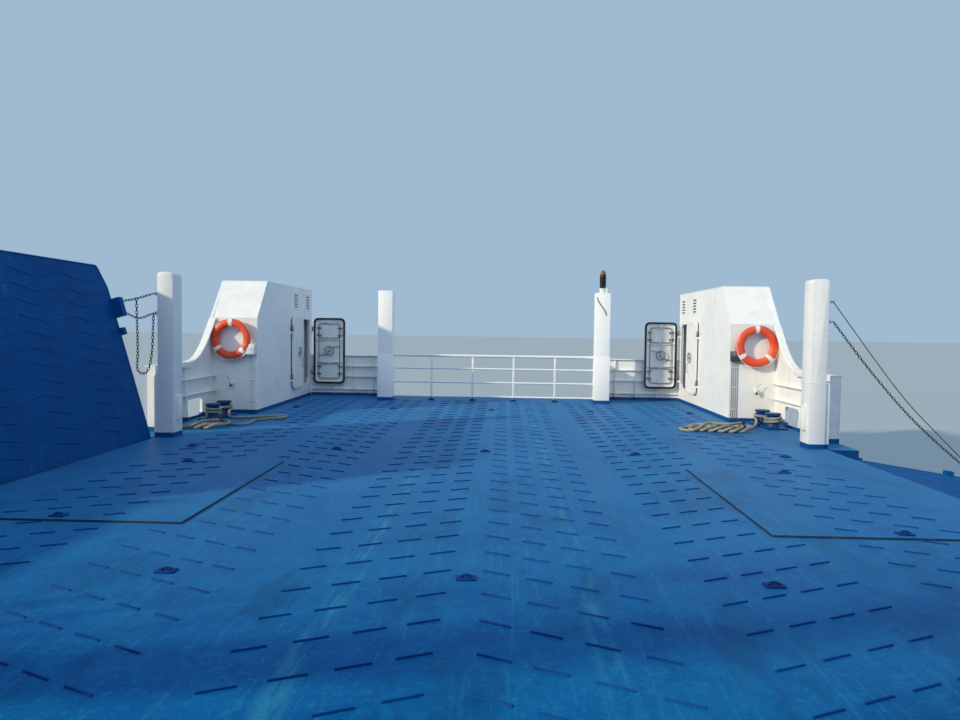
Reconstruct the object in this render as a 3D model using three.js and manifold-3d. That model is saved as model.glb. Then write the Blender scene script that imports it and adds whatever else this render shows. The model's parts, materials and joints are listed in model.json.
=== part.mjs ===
// Open-deck ferry, 38.4 m. Millimetres, +Z up, +Y toward the open end with the side ramps, +X starboard.
// The origin is the middle of the flat bottom.
import * as THREE from "three";
import { mergeVertices } from "three/addons/utils/BufferGeometryUtils.js";
import Module from "manifold-3d";

const wasm = await Module();
wasm.setup();

// Driving dimensions
const HALF_LENGTH = 19200;
const HALF_BEAM = 5200;
const DECK = 2600;
const GAP = 0.3;
const PLATE = 40;

// Ramp bays and ramps
const BAY_Y0 = 7100;
const BAY_Y1 = 11960;
const RAMP_AXIS_X = 4790;
const RAMP_AXIS_Z = DECK - 70;
const RAMP_LENGTH = 2620;
const RAMP_THICK = 140;
const RAMP_RAISED_DEG = 74;
const RAMP_LOWERED_DEG = -8.7;
const RAMP_EARS = [7500, 8500, 9500, 10500, 11500];
const HINGE_R = 50;

// Ends, posts and deckhouses
const NEAR_POST = { x0: 4515, x1: 4745, y0: 12000, y1: 12290, height: 2380 };
const FAR_POST = { x0: 2260, x1: 2580, y0: 17850, y1: 18170, height: 2450 };
const HOUSE = { x0: 4330, y0: 15000, y1: 18800, brow: 1770, roof: 2480, roofY: 15580 };
const BULWARK_HEIGHT = 990;

// Doors of the deckhouses
const LEAF_WIDTH = 750;
const LEAF_SILL = 285;
const LEAF_HEIGHT = 1550;
const LEAF_THICK = 60;
const DOOR_AXIS_X = 4285;
const OPEN_DOOR_Y = 18690;
const SHUT_DOOR_Y = 17095;

// Superstructure
const CASING = { x0: 3700, y0: -16500, y1: 600 };
const PASSENGER_DECK = { z0: 6400, z1: 6550, y0: -17800, y1: 1200 };
const SALOON = { x: 4400, y0: -15500, y1: -1500, z1: 8850 };
const BOAT_DECK = { z0: 8850, z1: 8970, y0: -17500, y1: 800 };
const WHEELHOUSE = { x: 2200, y0: -4500, y1: -1000, z1: 11200 };

// Underwater gear
const SHAFT_X = 2300;
const SHAFT_Z = 780;
const SHAFT_R = 60;
const STOCK_R = 62;
const PROPELLER_Y = -16700;
const PROPELLER_R = 500;
const RUDDER_Y = -17500;

const ferry = new THREE.Group();
ferry.name = "ferry";

function solid(geometry) {
  geometry.deleteAttribute("normal");
  geometry.deleteAttribute("uv");
  const merged = mergeVertices(geometry, 1e-3);
  return new wasm.Manifold(
    new wasm.Mesh({
      numProp: 3,
      vertProperties: merged.attributes.position.array,
      triVerts: new Uint32Array(merged.index.array),
    }),
  );
}

function box(x0, x1, y0, y1, z0, z1) {
  const g = new THREE.BoxGeometry(Math.abs(x1 - x0), Math.abs(y1 - y0), Math.abs(z1 - z0));
  g.translate((x0 + x1) / 2, (y0 + y1) / 2, (z0 + z1) / 2);
  return solid(g);
}

function outline(points) {
  return new THREE.Shape(points.map(([a, b]) => new THREE.Vector2(a, b)));
}

// A [y, z] outline between two planes of X.
function prismX(points, x0, x1) {
  const lo = Math.min(x0, x1);
  const g = new THREE.ExtrudeGeometry(outline(points), {
    depth: Math.abs(x1 - x0), bevelEnabled: false, steps: 1,
  });
  g.applyMatrix4(new THREE.Matrix4().makeBasis(
    new THREE.Vector3(0, 1, 0), new THREE.Vector3(0, 0, 1), new THREE.Vector3(1, 0, 0),
  ));
  g.translate(lo, 0, 0);
  return solid(g);
}

// An [x, z] outline between two planes of Y.
function prismY(points, y0, y1) {
  const g = new THREE.ExtrudeGeometry(outline(points), {
    depth: Math.abs(y1 - y0), bevelEnabled: false, steps: 1,
  });
  g.applyMatrix4(new THREE.Matrix4().makeBasis(
    new THREE.Vector3(1, 0, 0), new THREE.Vector3(0, 0, 1), new THREE.Vector3(0, -1, 0),
  ));
  g.translate(0, Math.max(y0, y1), 0);
  return solid(g);
}

// An [x, y] outline between two heights.
function prismZ(points, z0, z1) {
  const g = new THREE.ExtrudeGeometry(outline(points), {
    depth: z1 - z0, bevelEnabled: false, steps: 1,
  });
  g.translate(0, 0, z0);
  return solid(g);
}

function rod(from, to, radius, sides = 8) {
  const a = new THREE.Vector3(...from);
  const b = new THREE.Vector3(...to);
  const g = new THREE.CylinderGeometry(radius, radius, a.distanceTo(b), sides);
  const turn = new THREE.Quaternion().setFromUnitVectors(
    new THREE.Vector3(0, 1, 0), b.clone().sub(a).normalize(),
  );
  g.applyQuaternion(turn);
  g.translate((a.x + b.x) / 2, (a.y + b.y) / 2, (a.z + b.z) / 2);
  return solid(g);
}

function join(parts) {
  return parts.slice(1).reduce((sum, part) => sum.add(part), parts[0]);
}

function cut(body, tools) {
  return tools.reduce((left, tool) => left.subtract(tool), body);
}

// A rectangle in two coordinates with its corners cut at 45 degrees.
function chamfered(a0, a1, b0, b1, c) {
  return [
    [a0 + c, b0], [a1 - c, b0], [a1, b0 + c], [a1, b1 - c],
    [a1 - c, b1], [a0 + c, b1], [a0, b1 - c], [a0, b0 + c],
  ];
}

function mirrored(body) {
  return body.mirror([1, 0, 0]);
}

function node(name, body, colour, roughness = 0.6, metalness = 0.1) {
  const mesh = body.getMesh();
  const g = new THREE.BufferGeometry();
  const n = mesh.numProp;
  const xyz = new Float32Array(mesh.numVert * 3);
  for (let i = 0; i < mesh.numVert; i += 1) {
    xyz.set(mesh.vertProperties.subarray(i * n, i * n + 3), i * 3);
  }
  g.setAttribute("position", new THREE.BufferAttribute(xyz, 3));
  g.setIndex(new THREE.BufferAttribute(new Uint32Array(mesh.triVerts), 1));
  g.computeVertexNormals();
  const made = new THREE.Mesh(
    g, new THREE.MeshStandardMaterial({ color: colour, roughness, metalness }),
  );
  made.name = name;
  ferry.add(made);
  return made;
}

// Both sides of a piece that is built for starboard.
function pair(name, body, colour, roughness, metalness) {
  node(`${name}_stbd`, body, colour, roughness, metalness);
  node(`${name}_port`, mirrored(body), colour, roughness, metalness);
}

const WHITE = 0xdedede;
const BLUE = 0x2f6f9c;
const DARK_BLUE = 0x24466e;
const HULL_BLUE = 0x1f3f66;
const STEEL = 0x8a8f94;
const BLACK = 0x1d1f22;

// Hull

const HULL_SIDE = [
  [-12000, 0], [13200, 0], [17900, 1250], [HALF_LENGTH, DECK],
  [-HALF_LENGTH, DECK], [-18700, 1520], [-15600, 1450],
];
const HULL_SECTION = [
  [-4650, 0], [4650, 0], [HALF_BEAM, 650], [HALF_BEAM, DECK], [-HALF_BEAM, DECK], [-HALF_BEAM, 650],
];
const HULL_CORNER = 900;
const HATCH = { x0: 2390, x1: 4600, y0: 7553, y1: 10280 };

function hullBody() {
  const plan = prismZ(chamfered(
    -HALF_BEAM, HALF_BEAM, -HALF_LENGTH, HALF_LENGTH, HULL_CORNER,
  ), -10, DECK);
  let body = prismX(HULL_SIDE, -HALF_BEAM, HALF_BEAM)
    .intersect(prismY(HULL_SECTION, -HALF_LENGTH, HALF_LENGTH))
    .intersect(plan);
  // Ledges under the side ramps, stern tubes and rudder trunks
  for (const side of [1, -1]) {
    body = cut(body, [
      box(side * (RAMP_AXIS_X - 80), side * 5300, BAY_Y0, BAY_Y1, 2220, DECK + 10),
      rod([side * SHAFT_X, -13000, SHAFT_Z], [side * SHAFT_X, -15200, SHAFT_Z], SHAFT_R + 2.8, 12),
      rod([side * SHAFT_X, RUDDER_Y, 1300], [side * SHAFT_X, RUDDER_Y, 1900], STOCK_R + 2.8, 12),
    ]);
  }
  const added = [];
  for (const side of [1, -1]) {
    // Rubbing strakes: z0, z1
    for (const [z0, z1] of [[2300, 2480], [1750, 1880]]) {
      added.push(box(side * 5150, side * 5280, -17900, BAY_Y0 - 60, z0, z1));
      added.push(box(side * 5150, side * 5280, BAY_Y1 + 60, 17900, z0, z1));
    }
    // Flush hatch covers with their edges standing a little proud
    added.push(box(side * HATCH.x0, side * HATCH.x1, HATCH.y0, HATCH.y1, DECK - 20, DECK + 15));
    // Cover strip over the hinge of the ramp
    added.push(box(side * 4700, side * 4775, BAY_Y0, BAY_Y1, DECK - 10, DECK));
    // Hinge lugs of the ramp: ears along the ledge
    for (const y of RAMP_EARS) {
      const [root, eye] = [side * (RAMP_AXIS_X - 120), side * RAMP_AXIS_X];
      const ear = join([
        rod([eye, y - 50, RAMP_AXIS_Z], [eye, y + 50, RAMP_AXIS_Z], HINGE_R, 8),
        box(root, eye, y - 50, y + 50, RAMP_AXIS_Z - HINGE_R + 2, RAMP_AXIS_Z + 30),
      ]);
      added.push(cut(ear, [
        rod([side * RAMP_AXIS_X, y - 60, RAMP_AXIS_Z], [side * RAMP_AXIS_X, y + 60, RAMP_AXIS_Z], 33, 8),
      ]));
    }
    // Shaft bracket: boss, two struts
    added.push(cut(
      rod([side * SHAFT_X, -16150, SHAFT_Z], [side * SHAFT_X, -16500, SHAFT_Z], 140, 12),
      [rod([side * SHAFT_X, -16100, SHAFT_Z], [side * SHAFT_X, -16550, SHAFT_Z], SHAFT_R + 2.8, 12)],
    ));
    // Boss of the rudder trunk
    added.push(cut(
      rod([side * SHAFT_X, RUDDER_Y, 1440], [side * SHAFT_X, RUDDER_Y, 1620], 115, 12),
      [rod([side * SHAFT_X, RUDDER_Y, 1300], [side * SHAFT_X, RUDDER_Y, 1900], STOCK_R + 2.8, 12)],
    ));
    for (const lean of [-420, 420]) {
      const x = side * SHAFT_X;
      added.push(cut(
        prismY([
          [x + Math.sign(lean) * 75 - 25, SHAFT_Z + 60], [x + Math.sign(lean) * 75 + 25, SHAFT_Z + 60],
          [x + lean + 25, 1500], [x + lean - 25, 1500],
        ], -16200, -16450),
        [rod([x, -16100, SHAFT_Z], [x, -16550, SHAFT_Z], SHAFT_R + 2.8, 12)],
      ));
    }
  }
  return join([body, ...added]);
}
node("hull", hullBody(), HULL_BLUE, 0.55, 0.2);

// Propellers with their shafts

function propellerBody(side) {
  const x = side * SHAFT_X;
  const parts = [
    rod([x, -13300, SHAFT_Z], [x, PROPELLER_Y, SHAFT_Z], SHAFT_R, 12),
    rod([x, -16500 - GAP, SHAFT_Z], [x, PROPELLER_Y - 130, SHAFT_Z], 110, 12),
    rod([x, PROPELLER_Y - 125, SHAFT_Z], [x, PROPELLER_Y - 210, SHAFT_Z], 70, 12),
  ];
  // Blade outline: radius, half width
  const rows = [[80, 70], [200, 150], [340, 190], [440, 150], [PROPELLER_R, 40]];
  const points = [
    ...rows.map(([r, w]) => [w, r]),
    ...rows.slice().reverse().map(([r, w]) => [-w, r]),
  ];
  for (let i = 0; i < 4; i += 1) {
    const g = new THREE.ExtrudeGeometry(outline(points), { depth: 26, bevelEnabled: false, steps: 1 });
    g.translate(0, 0, -13);
    g.applyMatrix4(new THREE.Matrix4().makeRotationX(Math.PI / 2));
    g.applyMatrix4(new THREE.Matrix4().makeRotationZ(side * 0.95));
    g.applyMatrix4(new THREE.Matrix4().makeRotationY((i * Math.PI) / 2 + 0.3));
    g.translate(x, PROPELLER_Y, SHAFT_Z);
    parts.push(solid(g));
  }
  return join(parts);
}
node("propeller_stbd", propellerBody(1), 0xb08a3e, 0.4, 0.9);
node("propeller_port", propellerBody(-1), 0xb08a3e, 0.4, 0.9);

const rudder = join([
  prismZ([
    [SHAFT_X, RUDDER_Y + 330], [SHAFT_X + 55, RUDDER_Y + 150], [SHAFT_X + 45, RUDDER_Y - 100],
    [SHAFT_X, RUDDER_Y - 560], [SHAFT_X - 45, RUDDER_Y - 100], [SHAFT_X - 55, RUDDER_Y + 150],
  ].reverse(), 240, 1400),
  rod([SHAFT_X, RUDDER_Y, 1380], [SHAFT_X, RUDDER_Y, 1440 - GAP], 100, 12),
  rod([SHAFT_X, RUDDER_Y, 1400], [SHAFT_X, RUDDER_Y, 1860], STOCK_R, 12),
]);
pair("rudder", rudder, DARK_BLUE);

// Side ramps

// The ramp lies flat outboard of its hinge, then it is turned about the hinge.
// Its outer corners are cut, and the lugs of the chains stand on its far edge.
const CHAIN_LUG = { a0: 1860, a1: 2130, upper: 2085, lower: 1905, height: 88 };
function rampBody(side, angle) {
  const x0 = 55;
  const parts = [
    prismZ([
      [x0, BAY_Y0 + 40], [2300, BAY_Y0 + 40], [RAMP_LENGTH, BAY_Y0 + 170],
      [RAMP_LENGTH, BAY_Y1 - 170], [2300, BAY_Y1 - 40], [x0, BAY_Y1 - 40],
    ], -RAMP_THICK, 0),
    box(CHAIN_LUG.a0, CHAIN_LUG.a1, BAY_Y1 - 60, BAY_Y1 + 50, -60, 125),
    box(1600, 1700, BAY_Y1 - 60, BAY_Y1 + 30, -60, 60),
    rod([0, 7445, 0], [0, 11555, 0], 24, 8),
  ];
  // Knuckles between the hull's ears
  for (const y of RAMP_EARS) {
    for (const step of [-1, 1]) {
      const yc = y + step * (110 + GAP);
      if (yc < RAMP_EARS[0] || yc > RAMP_EARS[RAMP_EARS.length - 1]) continue;
      parts.push(rod([0, yc - 60, 0], [0, yc + 60, 0], HINGE_R, 8));
      parts.push(box(0, x0 + 20, yc - 60, yc + 60, 2 - HINGE_R, 0));
    }
  }
  const turn = new THREE.Matrix4().makeRotationY(-THREE.MathUtils.degToRad(angle));
  const m = new THREE.Matrix4().makeTranslation(RAMP_AXIS_X, 0, RAMP_AXIS_Z).multiply(turn);
  const body = join(parts).transform(m.elements);
  return side > 0 ? body : mirrored(body);
}
node("ramp_stbd", rampBody(1, RAMP_LOWERED_DEG), DARK_BLUE, 0.7, 0.2);
node("ramp_port", rampBody(-1, RAMP_RAISED_DEG), DARK_BLUE, 0.7, 0.2);

// Posts

function nearPost() {
  const p = NEAR_POST;
  const z0 = DECK + GAP;
  const top = DECK + p.height;
  // The head is rounded on both sides and at the back
  const body = prismY([
    [p.x0, z0], [p.x1, z0], [p.x1, top - 55], [p.x1 - 16, top - 16], [p.x1 - 55, top],
    [p.x0 + 55, top], [p.x0 + 16, top - 16], [p.x0, top - 55],
  ], p.y0, p.y1).intersect(prismX([
    [p.y0 - 10, z0 - 10], [p.y1 + 10, z0 - 10], [p.y1 + 10, top - 65], [p.y1 - 55, top],
    [p.y1 - 55, top + 10], [p.y0 - 10, top + 10],
  ], p.x0 - 10, p.x1 + 10));
  const parts = [
    body,
    box(p.x1 - 10, p.x1 + 65, p.y0 + 30, p.y1 - 30, z0, DECK + 950),
    box(p.x0 - 45, p.x0 + 10, p.y0 + 90, p.y0 + 200, DECK + 250, DECK + 600),
  ];
  // Eyes for the chains: height
  for (const z of [2070, 1790]) {
    parts.push(prismY([
      [p.x1 - 5, DECK + z - 45], [p.x1 + 55, DECK + z - 20],
      [p.x1 + 55, DECK + z + 20], [p.x1 - 5, DECK + z + 45],
    ], p.y0 + 30, p.y0 + 50));
  }
  return join(parts);
}
pair("ramp_post", nearPost(), WHITE);

function farPost() {
  const p = FAR_POST;
  return join([
    box(p.x0, p.x1, p.y0, p.y1, DECK + GAP, DECK + p.height),
    box(p.x0 - 12, p.x1 + 12, p.y0 - 12, p.y1 + 12, DECK + GAP, DECK + 45),
  ]);
}
pair("end_post", farPost(), WHITE);

const beaconX = (FAR_POST.x0 + FAR_POST.x1) / 2;
const beaconY = (FAR_POST.y0 + FAR_POST.y1) / 2;
const beaconZ = DECK + FAR_POST.height + GAP;
function turned(profile, sides) {
  const g = new THREE.LatheGeometry(profile.map(([r, z]) => new THREE.Vector2(r, z)), sides);
  g.applyMatrix4(new THREE.Matrix4().makeRotationX(Math.PI / 2));
  return solid(g);
}
const beacon = turned([
  [0, 0], [85, 0], [85, 130], [60, 150], [75, 170], [75, 210], [62, 225], [62, 400],
  [80, 415], [60, 470], [20, 505], [0, 510],
], 16).translate([beaconX, beaconY, beaconZ]);
node("beacon", beacon, BLACK, 0.4, 0.2);

// Side plating with its wing, stiffeners, cap and end plate

// The curved edge of the wing, from the bulwark up to the brow of the house: y, height over the deck
const BULWARK_END = 12560;
const WING = [
  [13850, 990], [14100, 1020], [14300, 1100], [14500, 1240], [14660, 1390], [14850, 1600], [14990, 1758],
];
function sidePlating() {
  const z = DECK + GAP;
  const top = DECK + BULWARK_HEIGHT;
  const edge = [
    [BULWARK_END, z], [HOUSE.y1, z], [HOUSE.y1, DECK + HOUSE.roof], [HOUSE.roofY, DECK + HOUSE.roof],
    ...WING.slice().reverse().map(([y, h]) => [y, DECK + h]), [BULWARK_END, top],
  ];
  let body = prismX(edge, HALF_BEAM - PLATE, HALF_BEAM);
  body = cut(body, [
    prismX(chamfered(13880, 14510, DECK + 25, DECK + 360, 60), HALF_BEAM - 200, HALF_BEAM + 200),
  ]);
  const parts = [body];
  // Cap on the bulwark and flange along the wing's edge, flush with the sloping front of the house
  const rim = [[BULWARK_END, top], ...WING.map(([y, h]) => [y, DECK + h])];
  for (let i = 0; i < rim.length - 1; i += 1) {
    const [ya, za] = rim[i];
    const [yb, zb] = rim[i + 1];
    const l = Math.hypot(yb - ya, zb - za);
    const ny = -(zb - za) / l;
    const nz = (yb - ya) / l;
    parts.push(prismX([
      [ya - ny * 12, za - nz * 12], [yb - ny * 12, zb - nz * 12],
      [yb + ny * 12, zb + nz * 12], [ya + ny * 12, za + nz * 12],
    ], HALF_BEAM - 100, HALF_BEAM + 10));
  }
  parts.push(prismX([
    [14990, DECK + 1745], [HOUSE.roofY, DECK + HOUSE.roof - 16], [HOUSE.roofY, DECK + HOUSE.roof],
    [14990, DECK + 1770],
  ], HALF_BEAM - PLATE, HALF_BEAM + 10));
  // Stiffeners: two stringers inside up to the house, and frames
  for (const h of [430, 700]) {
    parts.push(box(
      HALF_BEAM - 100, HALF_BEAM - 20, BULWARK_END + 10, HOUSE.y0 - 20, DECK + h - 6, DECK + h + 6,
    ));
  }
  for (const y of [13130, 13730]) {
    parts.push(prismY([
      [HALF_BEAM - 130, z], [HALF_BEAM - 20, z], [HALF_BEAM - 20, top - 5], [HALF_BEAM - 70, top - 5],
    ], y - 6, y + 6));
  }
  // End plate across
  parts.push(box(HALF_BEAM - 150, HALF_BEAM - 5, BULWARK_END, BULWARK_END + 25, z, top + 8));
  return join(parts);
}
pair("side_plating", sidePlating(), WHITE);

// Deckhouses

const WALL = 50;
function houseShell() {
  const h = HOUSE;
  const z = DECK + GAP;
  const x0 = h.x0 + WALL + GAP;
  const x1 = HALF_BEAM - PLATE - GAP;
  const outer = [
    [h.y0, z], [h.y0 + WALL, z], [h.y0 + WALL, DECK + h.brow - 15],
    [h.roofY + 25, DECK + h.roof - WALL], [h.y1 - WALL, DECK + h.roof - WALL], [h.y1 - WALL, z],
    [h.y1, z], [h.y1, DECK + h.roof], [h.roofY, DECK + h.roof], [h.y0, DECK + h.brow],
  ];
  return prismX(outer, x0, x1);
}
pair("house_shell", houseShell(), WHITE);

function houseInner() {
  const h = HOUSE;
  const z = DECK + GAP;
  let body = prismX([
    [h.y0, z], [h.y1, z], [h.y1, DECK + h.roof], [h.roofY, DECK + h.roof], [h.y0, DECK + h.brow],
  ], h.x0, h.x0 + WALL);
  // Doorways: y0, y1
  for (const [y0, y1] of [[18000, 18600], [17200, 17800]]) {
    body = cut(body, [prismX(chamfered(y0, y1, DECK + 330, DECK + 1790, 90), h.x0 - 50, h.x0 + 100)]);
  }
  // Hinge pins: one under each barrel of a leaf
  for (const y of [OPEN_DOOR_Y, SHUT_DOOR_Y]) {
    for (const zz of [DECK + LEAF_SILL + 200, DECK + LEAF_SILL + LEAF_HEIGHT - 320]) {
      body = join([
        body,
        rod([DOOR_AXIS_X, y, zz - 45], [DOOR_AXIS_X, y, zz - GAP], 18, 8),
        box(DOOR_AXIS_X, h.x0 + 10, y - 12, y + 12, zz - 45, zz - GAP),
      ]);
    }
  }
  // Louvres over the doors: middle
  for (const y of [17500, 18450]) {
    for (let i = 0; i < 5; i += 1) {
      const zz = DECK + 2065 + i * 62;
      body = body.add(box(h.x0 - 18, h.x0 + 5, y - 120, y + 120, zz, zz + 30));
    }
  }
  return body;
}
pair("house_inner", houseInner(), WHITE);

// Leaf of a deckhouse door, built shut against the starboard inner wall.
// It reaches away from its hinge by +1 or -1 along Y.
function leafBody(axisY, along) {
  const z0 = DECK + LEAF_SILL;
  const z1 = z0 + LEAF_HEIGHT;
  const ya = axisY + along * 35;
  const yb = axisY + along * (35 + LEAF_WIDTH);
  const lo = Math.min(ya, yb);
  const hi = Math.max(ya, yb);
  const x0 = DOOR_AXIS_X - LEAF_THICK / 2;
  const x1 = DOOR_AXIS_X + LEAF_THICK / 2;
  const parts = [
    prismX(chamfered(lo, hi, z0, z1, 85), x0 + 8, x1 - 14),
    // gasket side: a raised border toward the wall
    cut(
      prismX(chamfered(lo + 12, hi - 12, z0 + 12, z1 - 12, 80), x1 - 16, x1),
      [prismX(chamfered(lo + 62, hi - 62, z0 + 62, z1 - 62, 60), x1 - 30, x1 + 30)],
    ),
    // hinge straps and their barrel
    rod([DOOR_AXIS_X, axisY, z0 + 200], [DOOR_AXIS_X, axisY, z0 + 320], 16, 8),
    rod([DOOR_AXIS_X, axisY, z1 - 320], [DOOR_AXIS_X, axisY, z1 - 200], 16, 8),
    box(x0 + 12, x1 - 20, axisY, axisY + along * 60, z0 + 215, z0 + 305),
    box(x0 + 12, x1 - 20, axisY, axisY + along * 60, z1 - 305, z1 - 215),
    // hub of the hand wheel on the room side
    rod([x1 - 20, (lo + hi) / 2, (z0 + z1) / 2], [x1 + 2, (lo + hi) / 2, (z0 + z1) / 2], 40, 8),
  ];
  for (const f of [1 / 3, 2 / 3]) {
    const z = z0 + LEAF_HEIGHT * f;
    parts.push(box(x1 - 20, x1 - 4, lo + 50, hi - 50, z - 25, z + 25));
  }
  return join(parts);
}

function hingedTurn(body, axisY, degrees) {
  const turn = new THREE.Matrix4().makeRotationZ(THREE.MathUtils.degToRad(degrees));
  const m = new THREE.Matrix4().makeTranslation(DOOR_AXIS_X, axisY, 0)
    .multiply(turn)
    .multiply(new THREE.Matrix4().makeTranslation(-DOOR_AXIS_X, -axisY, 0));
  return body.transform(m.elements);
}
pair("door_open", hingedTurn(leafBody(OPEN_DOOR_Y, -1), OPEN_DOOR_Y, -90), WHITE);
pair("door_shut", leafBody(SHUT_DOOR_Y, 1), WHITE);

// Lifebuoys on the front of the deckhouses

const BUOY = { x: 4778, y: HOUSE.y0 - 100, z: DECK + 1376, ring: 304, tube: 76 };
function lifebuoy() {
  const g = new THREE.TorusGeometry(BUOY.ring, BUOY.tube, 6, 24);
  g.scale(1, 1, 0.7);
  g.applyMatrix4(new THREE.Matrix4().makeRotationX(Math.PI / 2));
  g.translate(BUOY.x, BUOY.y, BUOY.z);
  // The bracket on the wall, that carries the buoy from below
  const foot = BUOY.z - BUOY.ring - BUOY.tube;
  return join([
    solid(g),
    box(BUOY.x - 130, BUOY.x + 130, BUOY.y - 60, HOUSE.y0 - GAP, foot + 22, foot + 30),
    box(BUOY.x - 130, BUOY.x + 130, BUOY.y - 60, BUOY.y - 52, foot + 22, foot + 80),
    box(BUOY.x - 130, BUOY.x + 130, HOUSE.y0 - 8, HOUSE.y0 - GAP, foot - 40, foot + 90),
  ]);
}
pair("lifebuoy", lifebuoy(), 0xd8502a, 0.6, 0);

// Bow rail, end bulwarks, stern bulwark

function endRail() {
  const parts = [];
  const xr = FAR_POST.x0 - GAP;
  for (const h of [1010, 720, 410, 90]) {
    parts.push(rod([-xr, 18060, DECK + h], [xr, 18060, DECK + h], h === 1010 ? 30 : 20, 6));
  }
  for (const x of [-1390, -460, 460, 1390]) {
    parts.push(rod([x, 18060, DECK + 60], [x, 18060, DECK + 1010], 22, 6));
    parts.push(prismX([
      [18030, DECK + GAP], [18260, DECK + GAP], [18085, DECK + 230], [18030, DECK + 230],
    ], x - 9, x + 9));
  }
  return join(parts);
}
node("end_rail", endRail(), BLUE, 0.5, 0.2);

function endBulwark() {
  const z = DECK + GAP;
  const parts = [
    box(FAR_POST.x0 + 130, HOUSE.x0 - 5, 18800, 18830, z, DECK + 950),
    box(FAR_POST.x0 + 130, HOUSE.x0 - 5, 18760, 18860, DECK + 940, DECK + 960),
    box(FAR_POST.x0 + 130, FAR_POST.x0 + 160, FAR_POST.y1 + 15, 18810, z, DECK + 950),
  ];
  for (const h of [157, 457, 700]) {
    parts.push(box(FAR_POST.x0 + 140, HOUSE.x0 - 5, 18745, 18810, DECK + h - 6, DECK + h + 6));
  }
  return join(parts);
}
pair("end_bulwark", endBulwark(), WHITE);

function sternBulwark() {
  const z = DECK + GAP;
  const y = -18780;
  const parts = [
    box(-4700, 4700, y - 30, y, z, DECK + 950),
    box(-4700, 4700, y - 60, y + 40, DECK + 940, DECK + 960),
  ];
  for (const side of [1, -1]) {
    parts.push(prismZ([
      [side * 4700, y], [side * 4700, y - 30], [side * 5160, -18320], [side * 5130, -18300],
    ], z, DECK + 950));
    parts.push(box(side * 5130, side * 5160, -18330, CASING.y0 - GAP, z, DECK + 950));
  }
  return join(parts);
}
node("stern_bulwark", sternBulwark(), WHITE);

// Bollards and mooring ropes

const BOLLARD = { x: 4815, y: [14150, 14650], r: 100, height: 265 };
function bollardBody() {
  const z = DECK + GAP;
  const b = BOLLARD;
  const parts = [box(b.x - 170, b.x + 170, b.y[0] - 230, b.y[1] + 230, z, z + 30)];
  for (const y of b.y) {
    parts.push(rod([b.x, y, z + 20], [b.x, y, DECK + b.height], b.r, 16));
    parts.push(rod([b.x, y, DECK + b.height - 40], [b.x, y, DECK + b.height], b.r + 30, 16));
  }
  return join(parts);
}
pair("bollard", bollardBody(), BLUE, 0.5, 0.2);

const ROPE_R = 24;
// Three turns round one bollard post, as one closed ring.
function ropeTurns(x, y, z) {
  const inner = BOLLARD.r + 0.35;
  const g = new THREE.LatheGeometry([
    [inner, 0], [inner + 40, 0], [inner + 48, 24], [inner + 40, 48], [inner + 48, 72],
    [inner + 40, 96], [inner + 48, 120], [inner + 40, 144], [inner, 144], [inner, 0],
  ].map(([r, h]) => new THREE.Vector2(r, h)), 16);
  g.applyMatrix4(new THREE.Matrix4().makeRotationX(Math.PI / 2));
  g.translate(x, y, z);
  return solid(g);
}

// A hank of rope laid flat, with round ends.
function ropeHank(x0, x1, y0, y1, height) {
  const r = (y1 - y0) / 2;
  const cy = (y0 + y1) / 2;
  const pts = [];
  for (let i = 0; i <= 6; i += 1) {
    const a = -Math.PI / 2 + (i * Math.PI) / 6;
    pts.push([x1 - r + r * Math.cos(a), cy + r * Math.sin(a)]);
  }
  for (let i = 0; i <= 6; i += 1) {
    const a = Math.PI / 2 + (i * Math.PI) / 6;
    pts.push([x0 + r + r * Math.cos(a), cy + r * Math.sin(a)]);
  }
  return prismZ(pts, DECK + GAP, DECK + height);
}

function ropeLead(points) {
  const path = new THREE.CatmullRomCurve3(points.map((p) => new THREE.Vector3(...p)), false, "centripetal");
  const ring = new THREE.Shape();
  for (let i = 0; i < 8; i += 1) {
    const a = (i / 8) * 2 * Math.PI;
    const [px, py] = [ROPE_R * Math.cos(a), ROPE_R * Math.sin(a)];
    if (i === 0) ring.moveTo(px, py);
    else ring.lineTo(px, py);
  }
  ring.closePath();
  return solid(new THREE.ExtrudeGeometry(ring, {
    steps: 16, extrudePath: path, bevelEnabled: false, curveSegments: 1,
  }));
}

// side, post: y of the wound post, hanks: x0, x1, y0, y1 of each, height: of the heap, from: where the lead
// leaves the heap, arrives: bearing of the lead's end on the turns, in degrees
const ROPES = [
  {
    name: "stbd", side: 1, post: 14150, hanks: [[3070, 4380, 13420, 14020]],
    height: 156, from: [4250, 13850], arrives: 200,
  },
  {
    name: "port", side: -1, post: 14150, hanks: [[4100, 5010, 12650, 13500], [3650, 4560, 13250, 13850]],
    height: 156, from: [4620, 13350], arrives: 250,
  },
];
const TURNS_Z = DECK + 70;
for (const { name, side, post, hanks, height: hh, from, arrives } of ROPES) {
  const turns = ropeTurns(BOLLARD.x, post, TURNS_Z);
  const pile = join(hanks.map(([hx0, hx1, hy0, hy1]) => ropeHank(hx0, hx1, hy0, hy1, hh)));
  const a = THREE.MathUtils.degToRad(arrives);
  const out = (r) => [BOLLARD.x + r * Math.cos(a), post + r * Math.sin(a)];
  const [ex, ey] = out(BOLLARD.r + 49 + GAP + 1);
  const [mx, my] = out(BOLLARD.r + 120);
  const [sx, sy] = from;
  const lead = ropeLead([
    [sx, sy, DECK + hh + ROPE_R],
    [(sx + mx) / 2, (sy + my) / 2, DECK + hh + 30 + ROPE_R],
    [mx, my, TURNS_Z + 84],
    [ex, ey, TURNS_Z + 72],
  ]);
  const place = (body) => (side > 0 ? body : mirrored(body));
  node(`rope_turns_${name}`, place(turns), 0xb9b7ae, 0.95, 0);
  node(`rope_heap_${name}`, place(pile), 0xb9b7ae, 0.95, 0);
  node(`rope_lead_${name}`, place(lead), 0xb9b7ae, 0.95, 0);
}

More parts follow.
